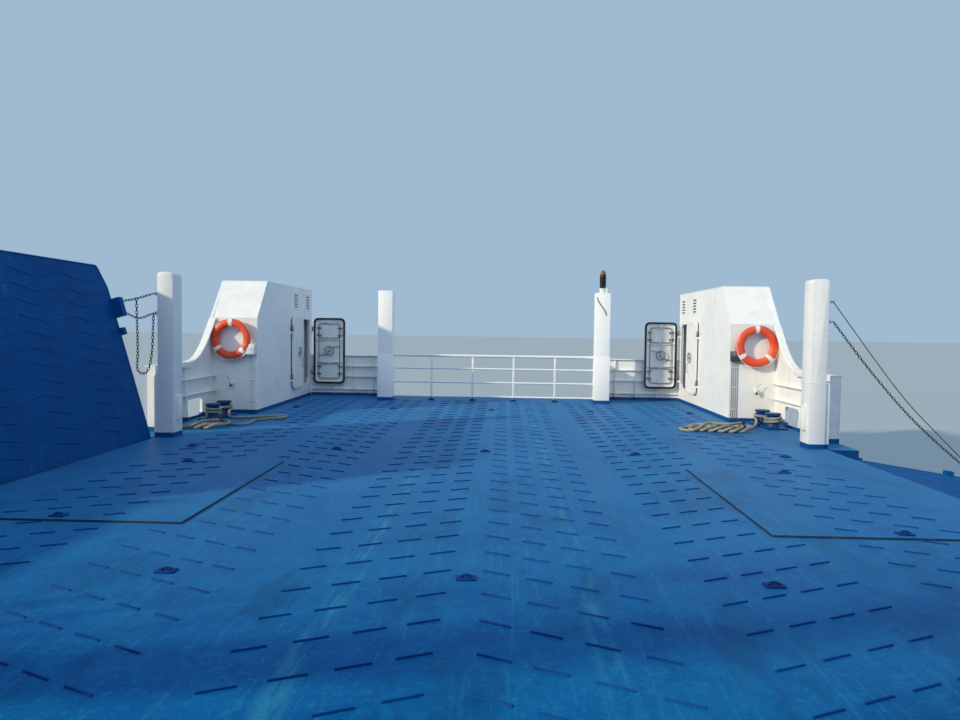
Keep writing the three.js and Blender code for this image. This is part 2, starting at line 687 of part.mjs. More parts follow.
// Chains of the ramps

const LINK_PITCH = 95;
const LINK_WIRE = 8;
const LINK_R = 18;
// One oblong link; each crown bears a little into its neighbour's, so that the chain is one body.
function link(at, direction, flip, spacing) {
  const g = new THREE.TorusGeometry(LINK_R, LINK_WIRE, 4, 6);
  const p = g.attributes.position;
  const stretch = spacing / 2 + LINK_WIRE - 4 - LINK_R;
  for (let i = 0; i < p.count; i += 1) {
    p.setX(i, p.getX(i) + Math.sign(p.getX(i)) * stretch);
  }
  if (flip) g.rotateX(Math.PI / 2);
  const turn = new THREE.Quaternion().setFromUnitVectors(new THREE.Vector3(1, 0, 0), direction);
  g.applyQuaternion(turn);
  g.translate(at.x, at.y, at.z);
  return solid(g);
}

// Links along a line of points, spread evenly so that both ends are reached.
function chainAlong(points) {
  const path = new THREE.CatmullRomCurve3(points.map((p) => new THREE.Vector3(...p)), false, "centripetal");
  const length = path.getLength();
  const count = Math.round(length / LINK_PITCH);
  const parts = [];
  for (let i = 0; i < count; i += 1) {
    const u = (i + 0.5) / count;
    parts.push(link(path.getPointAt(u), path.getTangentAt(u), i % 2 === 1, length / count));
  }
  return parts;
}

const rampPoint = (side, angle, along, y, height) => {
  const a = THREE.MathUtils.degToRad(angle);
  return [
    side * (RAMP_AXIS_X + along * Math.cos(a) - height * Math.sin(a)),
    y,
    RAMP_AXIS_Z + along * Math.sin(a) + height * Math.cos(a),
  ];
};
const CHAIN_Y = 12045;
const EYE = { y0: NEAR_POST.y0 + 30, y1: NEAR_POST.y0 + 50, x: NEAR_POST.x1 + 55 };

// A shackle straddling a post's eye, its bow outboard, for starboard
function postShackle(z) {
  return join([
    box(EYE.x - 30, EYE.x + 22, EYE.y0 - GAP - 10, EYE.y0 - GAP, z - 10, z + 10),
    box(EYE.x - 30, EYE.x + 22, EYE.y1 + GAP, EYE.y1 + GAP + 10, z - 10, z + 10),
    box(EYE.x + 6, EYE.x + 22, EYE.y0 - GAP - 10, EYE.y1 + GAP + 10, z - 10, z + 10),
  ]);
}

// A shackle beside a ramp's lug, clear of it by the moving gap
function lugShackle([x, y, z]) {
  return join([
    box(x - 14, x + 14, BAY_Y1 + 56, y + 10, z - 14, z + 14),
    box(x - 26, x + 26, BAY_Y1 + 56, BAY_Y1 + 66, z - 26, z + 26),
  ]);
}

const EYE_LOW = DECK + 1790;
const EYE_HIGH = DECK + 2070;
const CHAIN_START = EYE.x + 28;
{
  const lug = rampPoint(1, RAMP_LOWERED_DEG, CHAIN_LUG.upper, CHAIN_Y, CHAIN_LUG.height);
  // A thin wire from the upper eye comes down on the chain and runs beside it to the same lug
  const wire = [
    [EYE.x + 12, CHAIN_Y, EYE_HIGH], [5731, CHAIN_Y, DECK + 860], [6300, CHAIN_Y, DECK + 250], lug,
  ];
  node("chain_stbd", join([
    postShackle(EYE_LOW), postShackle(EYE_HIGH), lugShackle(lug),
    ...wire.slice(1).map((end, i) => rod(wire[i], end, 6, 6)),
    ...chainAlong([
      [CHAIN_START, CHAIN_Y, EYE_LOW - 4], [5350, CHAIN_Y, DECK + 1120],
      [5950, CHAIN_Y, DECK + 450], [6600, CHAIN_Y, DECK - 130], [lug[0] - 10, CHAIN_Y, lug[2] + 10],
    ]),
  ]), STEEL, 0.6, 0.8);
}
{
  const upper = rampPoint(1, RAMP_RAISED_DEG, CHAIN_LUG.upper, CHAIN_Y, CHAIN_LUG.height);
  const lower = rampPoint(1, RAMP_RAISED_DEG, CHAIN_LUG.lower, CHAIN_Y, CHAIN_LUG.height);
  const middle = [(upper[0] + CHAIN_START) / 2 + 15, CHAIN_Y, DECK + 1995];
  const parts = [
    postShackle(EYE_LOW), postShackle(EYE_HIGH), lugShackle(upper), lugShackle(lower),
    // Upper and lower holding chains from the lug to the post
    ...chainAlong([[CHAIN_START, CHAIN_Y, EYE_HIGH - 4], middle, [upper[0] - 10, CHAIN_Y, upper[2]]]),
    ...chainAlong([
      [CHAIN_START, CHAIN_Y, EYE_LOW - 4], [(lower[0] + CHAIN_START) / 2, CHAIN_Y, DECK + 1715],
      [lower[0] - 10, CHAIN_Y, lower[2]],
    ]),
    // The slack of the long chain hangs in a loop from the middle of the upper one
    ...chainAlong([
      [CHAIN_START - 8, CHAIN_Y, EYE_LOW - 8], [CHAIN_START + 16, CHAIN_Y, DECK + 1258],
      [CHAIN_START + 92, CHAIN_Y, DECK + 909], [middle[0] - 15, CHAIN_Y, DECK + 1255],
      [middle[0], CHAIN_Y, middle[2] + 8],
    ]),
  ];
  node("chain_port", mirrored(join(parts)), STEEL, 0.6, 0.8);
}

// Casings with the side bulwark ahead of them

function casingBody() {
  const z = DECK + GAP;
  const c = CASING;
  const parts = [
    box(c.x0, HALF_BEAM, c.y0, c.y1, z, PASSENGER_DECK.z0 - GAP),
    box(HALF_BEAM - PLATE, HALF_BEAM, c.y1 - 10, BAY_Y0 - 60, z, DECK + BULWARK_HEIGHT),
    box(
      HALF_BEAM - 110, HALF_BEAM + 10, c.y1 - 10, BAY_Y0 - 60,
      DECK + BULWARK_HEIGHT - 10, DECK + BULWARK_HEIGHT + 12,
    ),
    box(4800, HALF_BEAM - 10, BAY_Y0 - 90, BAY_Y0 - 60, z, DECK + BULWARK_HEIGHT + 8),
  ];
  for (const h of [250, 480, 710]) {
    parts.push(box(HALF_BEAM - 100, HALF_BEAM - 20, c.y1 - 10, BAY_Y0 - 70, DECK + h - 6, DECK + h + 6));
  }
  return join(parts);
}
pair("casing", casingBody(), WHITE);

// Passenger deck with its plated bulwark

const STAIR = { x0: 4200, x1: 5000, yTop: 1220, yFoot: 4500, steps: 15 };
function passengerDeck() {
  const d = PASSENGER_DECK;
  const top = d.z1 + 1050;
  let rim = cut(
    box(-HALF_BEAM, HALF_BEAM, d.y0, d.y1, d.z1 - 10, top),
    [box(-HALF_BEAM + PLATE, HALF_BEAM - PLATE, d.y0 + PLATE, d.y1 - PLATE, d.z1 - 20, top + 10)],
  );
  for (const side of [1, -1]) {
    rim = cut(rim, [box(side * STAIR.x0, side * STAIR.x1, d.y1 - 100, d.y1 + 100, d.z1, top + 10)]);
    // Long freeing slots at the foot
    for (const y of [-15500, -12500, -9500, -6500, -3500]) {
      rim = cut(rim, [
        box(side * (HALF_BEAM - 100), side * (HALF_BEAM + 100), y, y + 1600, d.z1 + 5, d.z1 + 90),
      ]);
    }
  }
  return join([box(-HALF_BEAM, HALF_BEAM, d.y0, d.y1, d.z0, d.z1), rim]);
}
node("passenger_deck", passengerDeck(), WHITE);

// Saloon

function ring(x, y0, y1, z0, z1, wall) {
  return cut(box(-x, x, y0, y1, z0, z1), [
    box(-x + wall, x - wall, y0 + wall, y1 - wall, z0 - 10, z1 + 10),
  ]);
}

const SALOON_WALL = 60;
const WINDOW_Z = [7500, 8350];
function saloonWalls() {
  const s = SALOON;
  let body = ring(s.x, s.y0, s.y1, PASSENGER_DECK.z1 + GAP, s.z1 - GAP, SALOON_WALL);
  const n = 8;
  const bay = (s.y1 - s.y0) / n;
  for (let i = 0; i < n; i += 1) {
    const y = s.y0 + bay * (i + 0.5);
    body = cut(body, [box(-s.x - 100, s.x + 100, y - 650, y + 650, ...WINDOW_Z)]);
  }
  for (const x of [-3300, -1650, 1650, 3300]) {
    body = cut(body, [box(x - 600, x + 600, s.y1 - 100, s.y1 + 100, ...WINDOW_Z)]);
  }
  // Doorways fore and aft, open without leaves between the saloon and the deck
  for (const y of [s.y0, s.y1]) {
    body = cut(body, [box(-500, 500, y - 100, y + 100, PASSENGER_DECK.z1 + 100, PASSENGER_DECK.z1 + 2050)]);
  }
  return body;
}
node("saloon_walls", saloonWalls(), WHITE);

function glassRing(x, y0, y1, z0, z1, wall, doors) {
  const inset = wall + GAP;
  let body = ring(x - inset, y0 + inset, y1 - inset, z0 - 40, z1 + 40, 12);
  for (const [xa, xb, ya, yb] of doors) body = cut(body, [box(xa, xb, ya, yb, z0 - 100, z1 + 100)]);
  return body;
}
// Panes inside one side wall and one half of the front wall, which the doorway parts
function saloonGlass() {
  const s = SALOON;
  const x = s.x - SALOON_WALL - GAP;
  const y = s.y1 - SALOON_WALL - GAP;
  const z0 = WINDOW_Z[0] - 40;
  const z1 = WINDOW_Z[1] + 40;
  return join([
    box(x - 12, x, s.y0 + 200, y, z0, z1),
    box(620, x, y - 12, y, z0, z1),
  ]);
}
pair("saloon_glass", saloonGlass(), 0x6f8894, 0.1, 0);

function saloonSeats() {
  const z = PASSENGER_DECK.z1 + GAP;
  const parts = [];
  for (const side of [1, -1]) {
    parts.push(box(side * 900, side * 1000, -14500, -2500, z, z + 60));
    for (let i = 0; i < 9; i += 1) {
      const y = -14200 + i * 1380;
      parts.push(prismX([
        [y + 40, z], [y + 340, z], [y + 340, z + 360], [y + 440, z + 360], [y + 440, z + 440],
        [y + 80, z + 440], [y + 20, z + 960], [y - 50, z + 960], [y, z + 360], [y + 40, z + 360],
      ], side * 900, side * 4100));
    }
  }
  parts.push(box(-950, 950, -14500, -14400, z, z + 60));
  return join(parts);
}
node("saloon_seats", saloonSeats(), 0x35577a, 0.8, 0);

// Boat deck with its pillars, rail, rafts, funnels

function boatDeck() {
  const d = BOAT_DECK;
  const parts = [box(-HALF_BEAM, HALF_BEAM, d.y0, d.y1, d.z0, d.z1)];
  for (const side of [1, -1]) {
    for (const y of [-17300, -14700, -11700, -8700, -5700, -2700, 600]) {
      parts.push(box(side * 5000, side * 5100, y - 50, y + 50, PASSENGER_DECK.z1 + GAP, d.z0 + 10));
    }
  }
  return join(parts);
}
node("boat_deck", boatDeck(), WHITE);

function boatRail() {
  const d = BOAT_DECK;
  const parts = [];
  const x = HALF_BEAM - 60;
  const y0 = d.y0 + 60;
  const y1 = d.y1 - 60;
  for (const h of [1000, 520]) {
    parts.push(cut(box(-x - 18, x + 18, y0 - 18, y1 + 18, d.z1 + h - 18, d.z1 + h + 18), [
      box(-x + 18, x - 18, y0 + 18, y1 - 18, d.z1 + h - 60, d.z1 + h + 60),
    ]));
  }
  for (const side of [1, -1]) {
    for (let i = 0; i <= 6; i += 1) {
      const y = y0 + ((y1 - y0) * i) / 6;
      parts.push(box(side * (x - 14), side * (x + 14), y - 14, y + 14, d.z1 + GAP, d.z1 + 1000));
    }
  }
  for (const y of [y0, y1]) {
    for (const px of [-2400, 0, 2400]) {
      parts.push(box(px - 14, px + 14, y - 14, y + 14, d.z1 + GAP, d.z1 + 1000));
    }
  }
  return join(parts);
}
node("boat_deck_rail", boatRail(), WHITE);

function funnelBody() {
  const z = BOAT_DECK.z1 + GAP;
  return join([
    prismX([[-12900, z], [-11100, z], [-11350, z + 2300], [-12900, z + 2100]], 2500, 3500),
    rod([3000, -12200, z + 2100], [3000, -12350, z + 2650], 160, 12),
  ]);
}
pair("funnel", funnelBody(), BLUE, 0.5, 0.2);

function raftBody() {
  const z = BOAT_DECK.z1 + GAP;
  const x = 4550;
  const parts = [rod([x, -9000, z + 560], [x, -7700, z + 560], 330, 16)];
  for (const y of [-8750, -7950]) {
    parts.push(prismY([[x - 330, z], [x + 330, z], [x + 250, z + 420], [x - 250, z + 420]], y - 40, y + 40));
  }
  return join(parts);
}
pair("life_raft", raftBody(), 0xeeeeea, 0.5, 0);

// Wheelhouse, roof, door, console, mast, radar

const WH_WALL = 60;
const WH_WINDOW = [9950, 10850];
const WH_DOOR = { x0: -350, x1: 350, z0: BOAT_DECK.z1 + 120, z1: BOAT_DECK.z1 + 1990 };
function wheelhouseWalls() {
  const w = WHEELHOUSE;
  let body = ring(w.x, w.y0, w.y1, BOAT_DECK.z1 + GAP, w.z1 - GAP, WH_WALL);
  for (const x of [-1400, 0, 1400]) {
    body = cut(body, [box(x - 600, x + 600, w.y1 - 100, w.y1 + 100, ...WH_WINDOW)]);
  }
  for (const y of [-3900, -2750, -1600]) {
    body = cut(body, [box(-w.x - 100, w.x + 100, y - 480, y + 480, ...WH_WINDOW)]);
  }
  for (const x of [-1350, 1350]) {
    body = cut(body, [box(x - 550, x + 550, w.y0 - 100, w.y0 + 100, ...WH_WINDOW)]);
  }
  body = cut(body, [box(WH_DOOR.x0, WH_DOOR.x1, w.y0 - 100, w.y0 + 100, WH_DOOR.z0, WH_DOOR.z1)]);
  for (const zz of [WH_DOOR.z0 + 200, WH_DOOR.z1 - 320]) {
    body = join([
      body,
      rod([WH_DOOR.x0 - 60, w.y0 - 30, zz - 40], [WH_DOOR.x0 - 60, w.y0 - 30, zz - GAP], 15, 8),
      box(WH_DOOR.x0 - 70, WH_DOOR.x0 - 50, w.y0 - 30, w.y0 + 10, zz - 40, zz - GAP),
    ]);
  }
  return body;
}
node("wheelhouse_walls", wheelhouseWalls(), WHITE);
node("wheelhouse_glass", glassRing(
  WHEELHOUSE.x, WHEELHOUSE.y0, WHEELHOUSE.y1, ...WH_WINDOW, WH_WALL,
  [[WH_DOOR.x0 - 60, WH_DOOR.x1 + 60, WHEELHOUSE.y0 - 100, WHEELHOUSE.y0 + 200]],
), 0x6f8894, 0.1, 0);

const SCANNER = { y: -2200, foot: WHEELHOUSE.z1 + 500 };
node("wheelhouse_roof", join([
  box(-2450, 2450, WHEELHOUSE.y0 - 250, WHEELHOUSE.y1 + 450, WHEELHOUSE.z1, WHEELHOUSE.z1 + 120),
  rod([0, SCANNER.y, WHEELHOUSE.z1 + 110], [0, SCANNER.y, SCANNER.foot], 130, 12),
]), WHITE);

const whDoor = join([
  prismY(chamfered(WH_DOOR.x0 - 40, WH_DOOR.x1 + 40, WH_DOOR.z0 - 30, WH_DOOR.z1 + 30, 60),
    WHEELHOUSE.y0 - 50, WHEELHOUSE.y0 - 10),
  rod([WH_DOOR.x0 - 60, WHEELHOUSE.y0 - 30, WH_DOOR.z0 + 200],
    [WH_DOOR.x0 - 60, WHEELHOUSE.y0 - 30, WH_DOOR.z0 + 320], 14, 8),
  rod([WH_DOOR.x0 - 60, WHEELHOUSE.y0 - 30, WH_DOOR.z1 - 320],
    [WH_DOOR.x0 - 60, WHEELHOUSE.y0 - 30, WH_DOOR.z1 - 200], 14, 8),
  ...[WH_DOOR.z0 + 220, WH_DOOR.z1 - 300].map((z) => box(
    WH_DOOR.x0 - 60, WH_DOOR.x0, WHEELHOUSE.y0 - 38, WHEELHOUSE.y0 - 22, z, z + 80,
  )),
]);
node("wheelhouse_door", whDoor, WHITE);

node("wheelhouse_console", join([
  prismX([
    [-1750, BOAT_DECK.z1 + GAP], [-1150, BOAT_DECK.z1 + GAP], [-1150, 9880], [-1350, 9900], [-1850, 9780],
  ], -1700, 1700),
  rod([0, -2500, BOAT_DECK.z1 + GAP], [0, -2500, 9500], 60, 8),
  box(-280, 280, -2800, -2250, 9450, 9560),
  box(-280, 280, -2880, -2790, 9500, 10250),
  box(-280, 280, -2700, -1700, BOAT_DECK.z1 + GAP, BOAT_DECK.z1 + 20),
]), 0x3a3d42, 0.7, 0.1);

const MAST = { y: -3700, z0: WHEELHOUSE.z1 + 120 + GAP, top: 14400 };
node("mast", join([
  prismY([[-260, MAST.z0], [260, MAST.z0], [90, 13300], [-90, 13300]], MAST.y - 160, MAST.y + 60),
  rod([0, MAST.y, 13200], [0, MAST.y, MAST.top], 45, 8),
  box(-900, 900, MAST.y - 40, MAST.y + 40, 13000, 13080),
]), WHITE);
node("radar_scanner", join([
  box(-950, 950, SCANNER.y - 60, SCANNER.y + 60, SCANNER.foot + 60, SCANNER.foot + 160),
  rod([0, SCANNER.y, SCANNER.foot + GAP], [0, SCANNER.y, SCANNER.foot + 70], 60, 12),
]), 0xeeeeea, 0.5, 0);

// Stairs from the vehicle deck to the passenger deck

function stairBody() {
  const s = STAIR;
  const rise = PASSENGER_DECK.z1 - DECK;
  const run = s.yFoot - s.yTop;
  const parts = [];
  for (const x of [s.x0, s.x1 - 30]) {
    parts.push(prismX([
      [s.yFoot, DECK + GAP], [s.yFoot, DECK + 160],
      [s.yTop + 20, PASSENGER_DECK.z1], [s.yTop + 20, PASSENGER_DECK.z1 - 300],
      [s.yFoot - 250, DECK + GAP],
    ], x, x + 30));
  }
  for (let i = 1; i < s.steps; i += 1) {
    const f = i / s.steps;
    const z = DECK + rise * f;
    const y = s.yFoot - run * f;
    parts.push(box(s.x0 + 10, s.x1 - 10, y - 60, y + 170, z - 30, z));
  }
  return join(parts);
}
pair("stairs", stairBody(), STEEL, 0.6, 0.4);

export default ferry;
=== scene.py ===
"""An open-deck ferry with hinged side ramps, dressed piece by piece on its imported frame."""
import json
import math

import bmesh
import bpy
from mathutils import Matrix, Vector


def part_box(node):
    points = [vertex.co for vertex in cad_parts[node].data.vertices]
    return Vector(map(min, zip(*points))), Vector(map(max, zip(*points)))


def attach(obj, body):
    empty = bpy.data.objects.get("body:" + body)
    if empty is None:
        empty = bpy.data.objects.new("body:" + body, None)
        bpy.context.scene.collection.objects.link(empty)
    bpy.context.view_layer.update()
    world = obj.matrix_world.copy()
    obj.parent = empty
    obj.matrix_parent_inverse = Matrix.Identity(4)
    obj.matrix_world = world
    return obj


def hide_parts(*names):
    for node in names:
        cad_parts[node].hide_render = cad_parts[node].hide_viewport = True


bl_info = {
    "name": "Open-deck Ferry",
    "version": (1, 0, 0),
    "blender": (4, 5, 0),
    "location": "View3D > Sidebar > Ferry",
    "description": "Dresses the ferry's packed frame with its fittings, ropes, chains and paint",
    "category": "Add Mesh",
}

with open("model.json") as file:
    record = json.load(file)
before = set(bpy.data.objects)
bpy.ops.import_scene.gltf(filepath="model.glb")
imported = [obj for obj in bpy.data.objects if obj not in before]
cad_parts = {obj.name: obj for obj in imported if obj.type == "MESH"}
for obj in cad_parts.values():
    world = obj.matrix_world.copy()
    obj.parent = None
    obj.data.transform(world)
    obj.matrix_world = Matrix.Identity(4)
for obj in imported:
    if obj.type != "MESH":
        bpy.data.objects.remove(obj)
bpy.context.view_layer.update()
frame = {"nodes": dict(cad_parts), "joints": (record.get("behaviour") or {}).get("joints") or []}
JOINTS = {joint["name"]: joint for joint in frame["joints"]}

# Heights and places on the frame, in metres, and how far its ramps stand open at rest, in degrees
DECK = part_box("house_inner_stbd")[0].z
RAMP_X = abs(JOINTS["stbd_ramp_hinge"]["pos_m"][0])
RAMP_Z = JOINTS["stbd_ramp_hinge"]["pos_m"][2]
RAMP_Y = (7.14, 11.92)
RAMP_ANGLES = {"stbd": -8.7, "port": 74.0}
SIDES = {"stbd": 1, "port": -1}
# Walls that fittings stand on, and the height of the passenger deck's underside and of its bulwark's cap
HOUSE_FRONT, HOUSE_WALL, CASING_WALL, HULL_SIDE = 14.999, 4.332, 3.699, 5.199
DECK_HEAD, UPPER_CAP = 6.3995, 7.602
END_RAIL_Y = 18.06
# Edges sharper than this stay sharp, in degrees
SHARP_ANGLE = 38.0


# Sizes and colours that a user may change

def length(name, text, value):
    return bpy.props.FloatProperty(name=name, description=text, default=value, min=0.0, unit="LENGTH", precision=4)


def tint(name, text, value):
    return bpy.props.FloatVectorProperty(
        name=name, description=text, default=value, size=3, subtype="COLOR", min=0.0, max=1.0,
    )


class FerrySizes(bpy.types.PropertyGroup):
    """Sizes of the fittings."""
    waterline: length("Waterline", "Height of the water over the flat bottom", 1.4)
    bar_length: length("Grip bar length", "Length of a grip bar on the deck", 0.19)
    bar_width: length("Grip bar width", "Width of a grip bar", 0.016)
    bar_height: length("Grip bar height", "Height of a grip bar", 0.009)
    bar_pitch: length("Grip bar pitch", "Distance from one row of grip bars to the next", 0.413)
    rope_diameter: length("Rope diameter", "Diameter of the mooring ropes", 0.048)
    rope_twist: length("Rope twist", "Length of one turn of the rope's strands", 0.17)
    link_pitch: length("Chain pitch", "Length that one chain link adds", 0.046)
    link_wire: length("Chain wire", "Diameter of the chain's wire", 0.01)
    rail_tube: length("Rail tube", "Diameter of the end rail's upper tube", 0.06)
    post_round: length("Post rounding", "Radius of the rounded heads of the ramp posts", 0.075)
    foot_band: length("Foot band", "Height of the blue band at the foot of white plating", 0.075)


class FerryColours(bpy.types.PropertyGroup):
    """Colours of the paints and fittings."""
    deck: tint("Deck paint", "Blue paint of the vehicle deck", (0.0006, 0.112, 0.365))
    deck_faded: tint("Faded deck paint", "Deck paint that the sun and wheels have paled", (0.004, 0.2, 0.47))
    ramp: tint("Ramp paint", "Dark blue paint of the side ramps", (0.001, 0.07, 0.25))
    side: tint("Side paint", "Dark blue paint of the hull's sides", (0.008, 0.05, 0.17))
    bottom: tint("Bottom paint", "Red-brown paint under the waterline", (0.16, 0.03, 0.02))
    white: tint("White paint", "White paint of posts, plating and houses", (0.9, 0.9, 0.88))
    white_aged: tint("Aged white paint", "White paint that has greyed", (0.7, 0.72, 0.72))
    rust: tint("Rust", "Rust that runs from edges and fittings", (0.16, 0.055, 0.018))
    foot: tint("Foot paint", "Darker blue band at the foot of white plating", (0.001, 0.066, 0.27))
    gloss_blue: tint("Gloss blue", "Blue of the bollards and funnels", (0.003, 0.04, 0.145))
    steel: tint("Steel", "Galvanised steel of chains and stairs", (0.36, 0.37, 0.38))
    rope: tint("Rope", "Fibre of the mooring ropes", (0.44, 0.435, 0.38))
    buoy: tint("Lifebuoy", "Orange-red shell of the lifebuoys", (0.8, 0.075, 0.018))
    bronze: tint("Bronze", "Cast bronze of the propellers", (0.55, 0.36, 0.14))
    glass: tint("Glass", "Tint of the window panes", (0.62, 0.72, 0.74))
    seat: tint("Seat", "Moulded shells of the saloon seats", (0.03, 0.12, 0.26))
    floor: tint("Floor", "Plain floor of the stage", (0.4, 0.45, 0.48))
    world: tint("Backdrop", "Plain light all round", (0.35, 0.49, 0.64))


def sizes():
    return bpy.context.scene.ferry_sizes


def colours():
    return bpy.context.scene.ferry_colours


# Node trees

def put(tree, kind, inputs=(), **settings):
    """Adds a node: settings first, then its inputs, each a value or an output socket."""
    made = tree.nodes.new(kind)
    for key, value in settings.items():
        setattr(made, key, value)
    for key, value in dict(inputs).items():
        if isinstance(value, bpy.types.NodeSocket):
            tree.links.new(value, made.inputs[key])
        elif hasattr(value, "__len__") and made.inputs[key].type == "RGBA":
            made.inputs[key].default_value = (*value, 1.0) if len(value) == 3 else tuple(value)
        else:
            made.inputs[key].default_value = value
    return made


def tree_of(*values):
    """The tree of the first socket among the values."""
    return next(value for value in values if isinstance(value, bpy.types.NodeSocket)).id_data


def reckon(operation, *values, clamp=False):
    made = put(tree_of(*values), "ShaderNodeMath", enumerate(values), operation=operation, use_clamp=clamp)
    return made.outputs[0]


def times(*values, clamp=False):
    return reckon("MULTIPLY", *values, clamp=clamp)


def plus(*values, clamp=False):
    return reckon("ADD", *values, clamp=clamp)


def minus(*values):
    return reckon("SUBTRACT", *values)


def between(value, low, high):
    """0 below low, 1 above high, smooth between."""
    return put(
        value.id_data, "ShaderNodeMapRange", {"Value": value, "From Min": low, "From Max": high},
        interpolation_type="SMOOTHSTEP", clamp=True,
    ).outputs["Result"]


def mixed(factor, first, second):
    made = put(tree_of(factor, first, second), "ShaderNodeMix", {0: factor, 6: first, 7: second}, data_type="RGBA")
    return made.outputs[2]


def stretched(vector, *scale):
    return put(vector.id_data, "ShaderNodeMapping", {"Vector": vector, "Scale": scale}).outputs[0]


def mottle(vector, scale, detail=4.0, rough=0.55):
    return put(vector.id_data, "ShaderNodeTexNoise", {
        "Vector": vector, "Scale": scale, "Detail": detail, "Roughness": rough,
    }).outputs["Fac"]


def patches(vector, scale, detail, rough, low, high):
    """Clouds of noise: 0 below low, 1 above high."""
    return between(mottle(vector, scale, detail, rough), low, high)


def parts(vector):
    return put(vector.id_data, "ShaderNodeSeparateXYZ", {"Vector": vector}).outputs


def upward(tree):
    """1 on faces that look up, -1 on those that look down."""
    return parts(put(tree, "ShaderNodeNewGeometry").outputs["True Normal"])["Z"]


FLOAT, COLOUR, VECTOR = "NodeSocketFloat", "NodeSocketColor", "NodeSocketVector"


def group(name, inputs, outputs, build):
    """A node group with named sockets, made once and kept."""
    made = bpy.data.node_groups.get(name)
    if made is None:
        made = bpy.data.node_groups.new(name, "ShaderNodeTree")
        for socket, kind, default in (("Place", VECTOR, None), *inputs):
            item = made.interface.new_socket(name=socket, in_out="INPUT", socket_type=kind)
            if default is not None:
                item.default_value = default
        for socket, kind in outputs:
            made.interface.new_socket(name=socket, in_out="OUTPUT", socket_type=kind)
        into = made.nodes.new("NodeGroupInput")
        out = made.nodes.new("NodeGroupOutput")
        for socket, value in build(into.outputs).items():
            made.links.new(value, out.inputs[socket])
    return made


SURFACE = [("Colour", COLOUR), ("Roughness", FLOAT), ("Relief", FLOAT)]
RUST = ("Rust", COLOUR, (0.16, 0.055, 0.018, 1.0))


def weathered_paint():
    """Brushed paint that fades in clouds, collects dirt, and rusts in spots and runs."""
    def build(into):
        place = into["Place"]
        cloud = patches(place, 0.9, 6.0, 0.6, 0.4, 0.66)
        patch = patches(place, 4.5, 5.0, 0.6, 0.42, 0.7)
        colour = mixed(times(plus(cloud, patch), into["Fading"], clamp=True), into["Paint"], into["Faded"])
        # Thin runs that go straight down
        fine = patches(stretched(place, 9.0, 9.0, 0.45), 1.6, 4.0, 0.6, 0.56, 0.74)
        wide = patches(stretched(place, 1.2, 1.2, 0.7), 1.0, 3.0, 0.5, 0.45, 0.62)
        colour = mixed(times(times(fine, wide), into["Streaks"], clamp=True), colour, into["Dirt"])
        spot = times(patches(place, 23.0, 6.0, 0.7, 0.66, 0.74), patches(place, 1.7, 2.0, 0.5, 0.46, 0.6))
        rusty = times(spot, into["Rusting"], clamp=True)
        colour = mixed(rusty, colour, into["Rust"])
        brushed = mottle(stretched(place, 26.0, 26.0, 3.5), 1.3, 3.0, 0.5)
        rough = plus(plus(into["Gloss"], times(brushed, 0.12)), times(rusty, 0.35), clamp=True)
        dent = times(mottle(place, 1.6, 2.0, 0.4), 1.6)
        relief = plus(plus(dent, times(brushed, 0.1)), times(rusty, 0.25))
        return {"Colour": colour, "Roughness": rough, "Relief": relief}
    return group("Weathered paint", [
        ("Paint", COLOUR, None), ("Faded", COLOUR, None), ("Dirt", COLOUR, (0.3, 0.28, 0.24, 1.0)), RUST,
        ("Fading", FLOAT, 0.4), ("Streaks", FLOAT, 0.3), ("Rusting", FLOAT, 0.4), ("Gloss", FLOAT, 0.35),
    ], SURFACE, build)


def height_band():
    """1 between two heights, with edges as a brush leaves them."""
    def build(into):
        height = plus(parts(into["Place"])["Z"], times(mottle(into["Place"], 6.0, 3.0, 0.5), into["Waver"]))
        over = between(minus(height, into["Low"]), -0.003, 0.003)
        return {"Mask": times(over, between(minus(into["High"], height), -0.003, 0.003))}
    return group("Height band", [
        ("Low", FLOAT, 0.0), ("High", FLOAT, 1.0), ("Waver", FLOAT, 0.01),
    ], [("Mask", FLOAT)], build)


def steel_grain():
    """Zinc bloom with rust in the hollows."""
    def build(into):
        place = into["Place"]
        bloom = put(place.id_data, "ShaderNodeTexVoronoi", {"Vector": place, "Scale": 38.0}).outputs["Distance"]
        cloud = mottle(place, 7.0, 6.0, 0.65)
        rusty = times(between(cloud, 0.45, 0.62), into["Rusting"], clamp=True)
        shade = mixed(times(bloom, 0.6), into["Steel"], (0.16, 0.17, 0.18))
        return {
            "Colour": mixed(rusty, shade, into["Rust"]), "Roughness": plus(0.42, times(rusty, 0.45)),
            "Bare": minus(1.0, rusty), "Relief": plus(times(cloud, 0.6), times(bloom, 0.2)),
        }
    return group("Steel grain", [
        ("Steel", COLOUR, (0.36, 0.37, 0.38, 1.0)), RUST, ("Rusting", FLOAT, 0.5),
    ], [("Colour", COLOUR), ("Roughness", FLOAT), ("Bare", FLOAT), ("Relief", FLOAT)], build)


def moulded_skin():
    """Moulded plastic or rubber: fine pores, dust and a few scuffs."""
    def build(into):
        place = into["Place"]
        dust = times(patches(place, 5.0, 6.0, 0.65, 0.48, 0.75), into["Dust"], clamp=True)
        scuff = patches(stretched(place, 60.0, 9.0, 24.0), 1.0, 3.0, 0.7, 0.66, 0.76)
        colour = mixed(dust, into["Body"], into["Pale"])
        return {
            "Colour": mixed(times(scuff, into["Dust"], clamp=True), colour, into["Pale"]),
            "Roughness": plus(into["Gloss"], times(dust, 0.3), clamp=True),
            "Relief": times(mottle(place, 260.0, 2.0, 0.5), 0.05),
        }
    return group("Moulded skin", [
        ("Body", COLOUR, None), ("Pale", COLOUR, (0.5, 0.5, 0.48, 1.0)), ("Dust", FLOAT, 0.3), ("Gloss", FLOAT, 0.4),
    ], SURFACE, build)


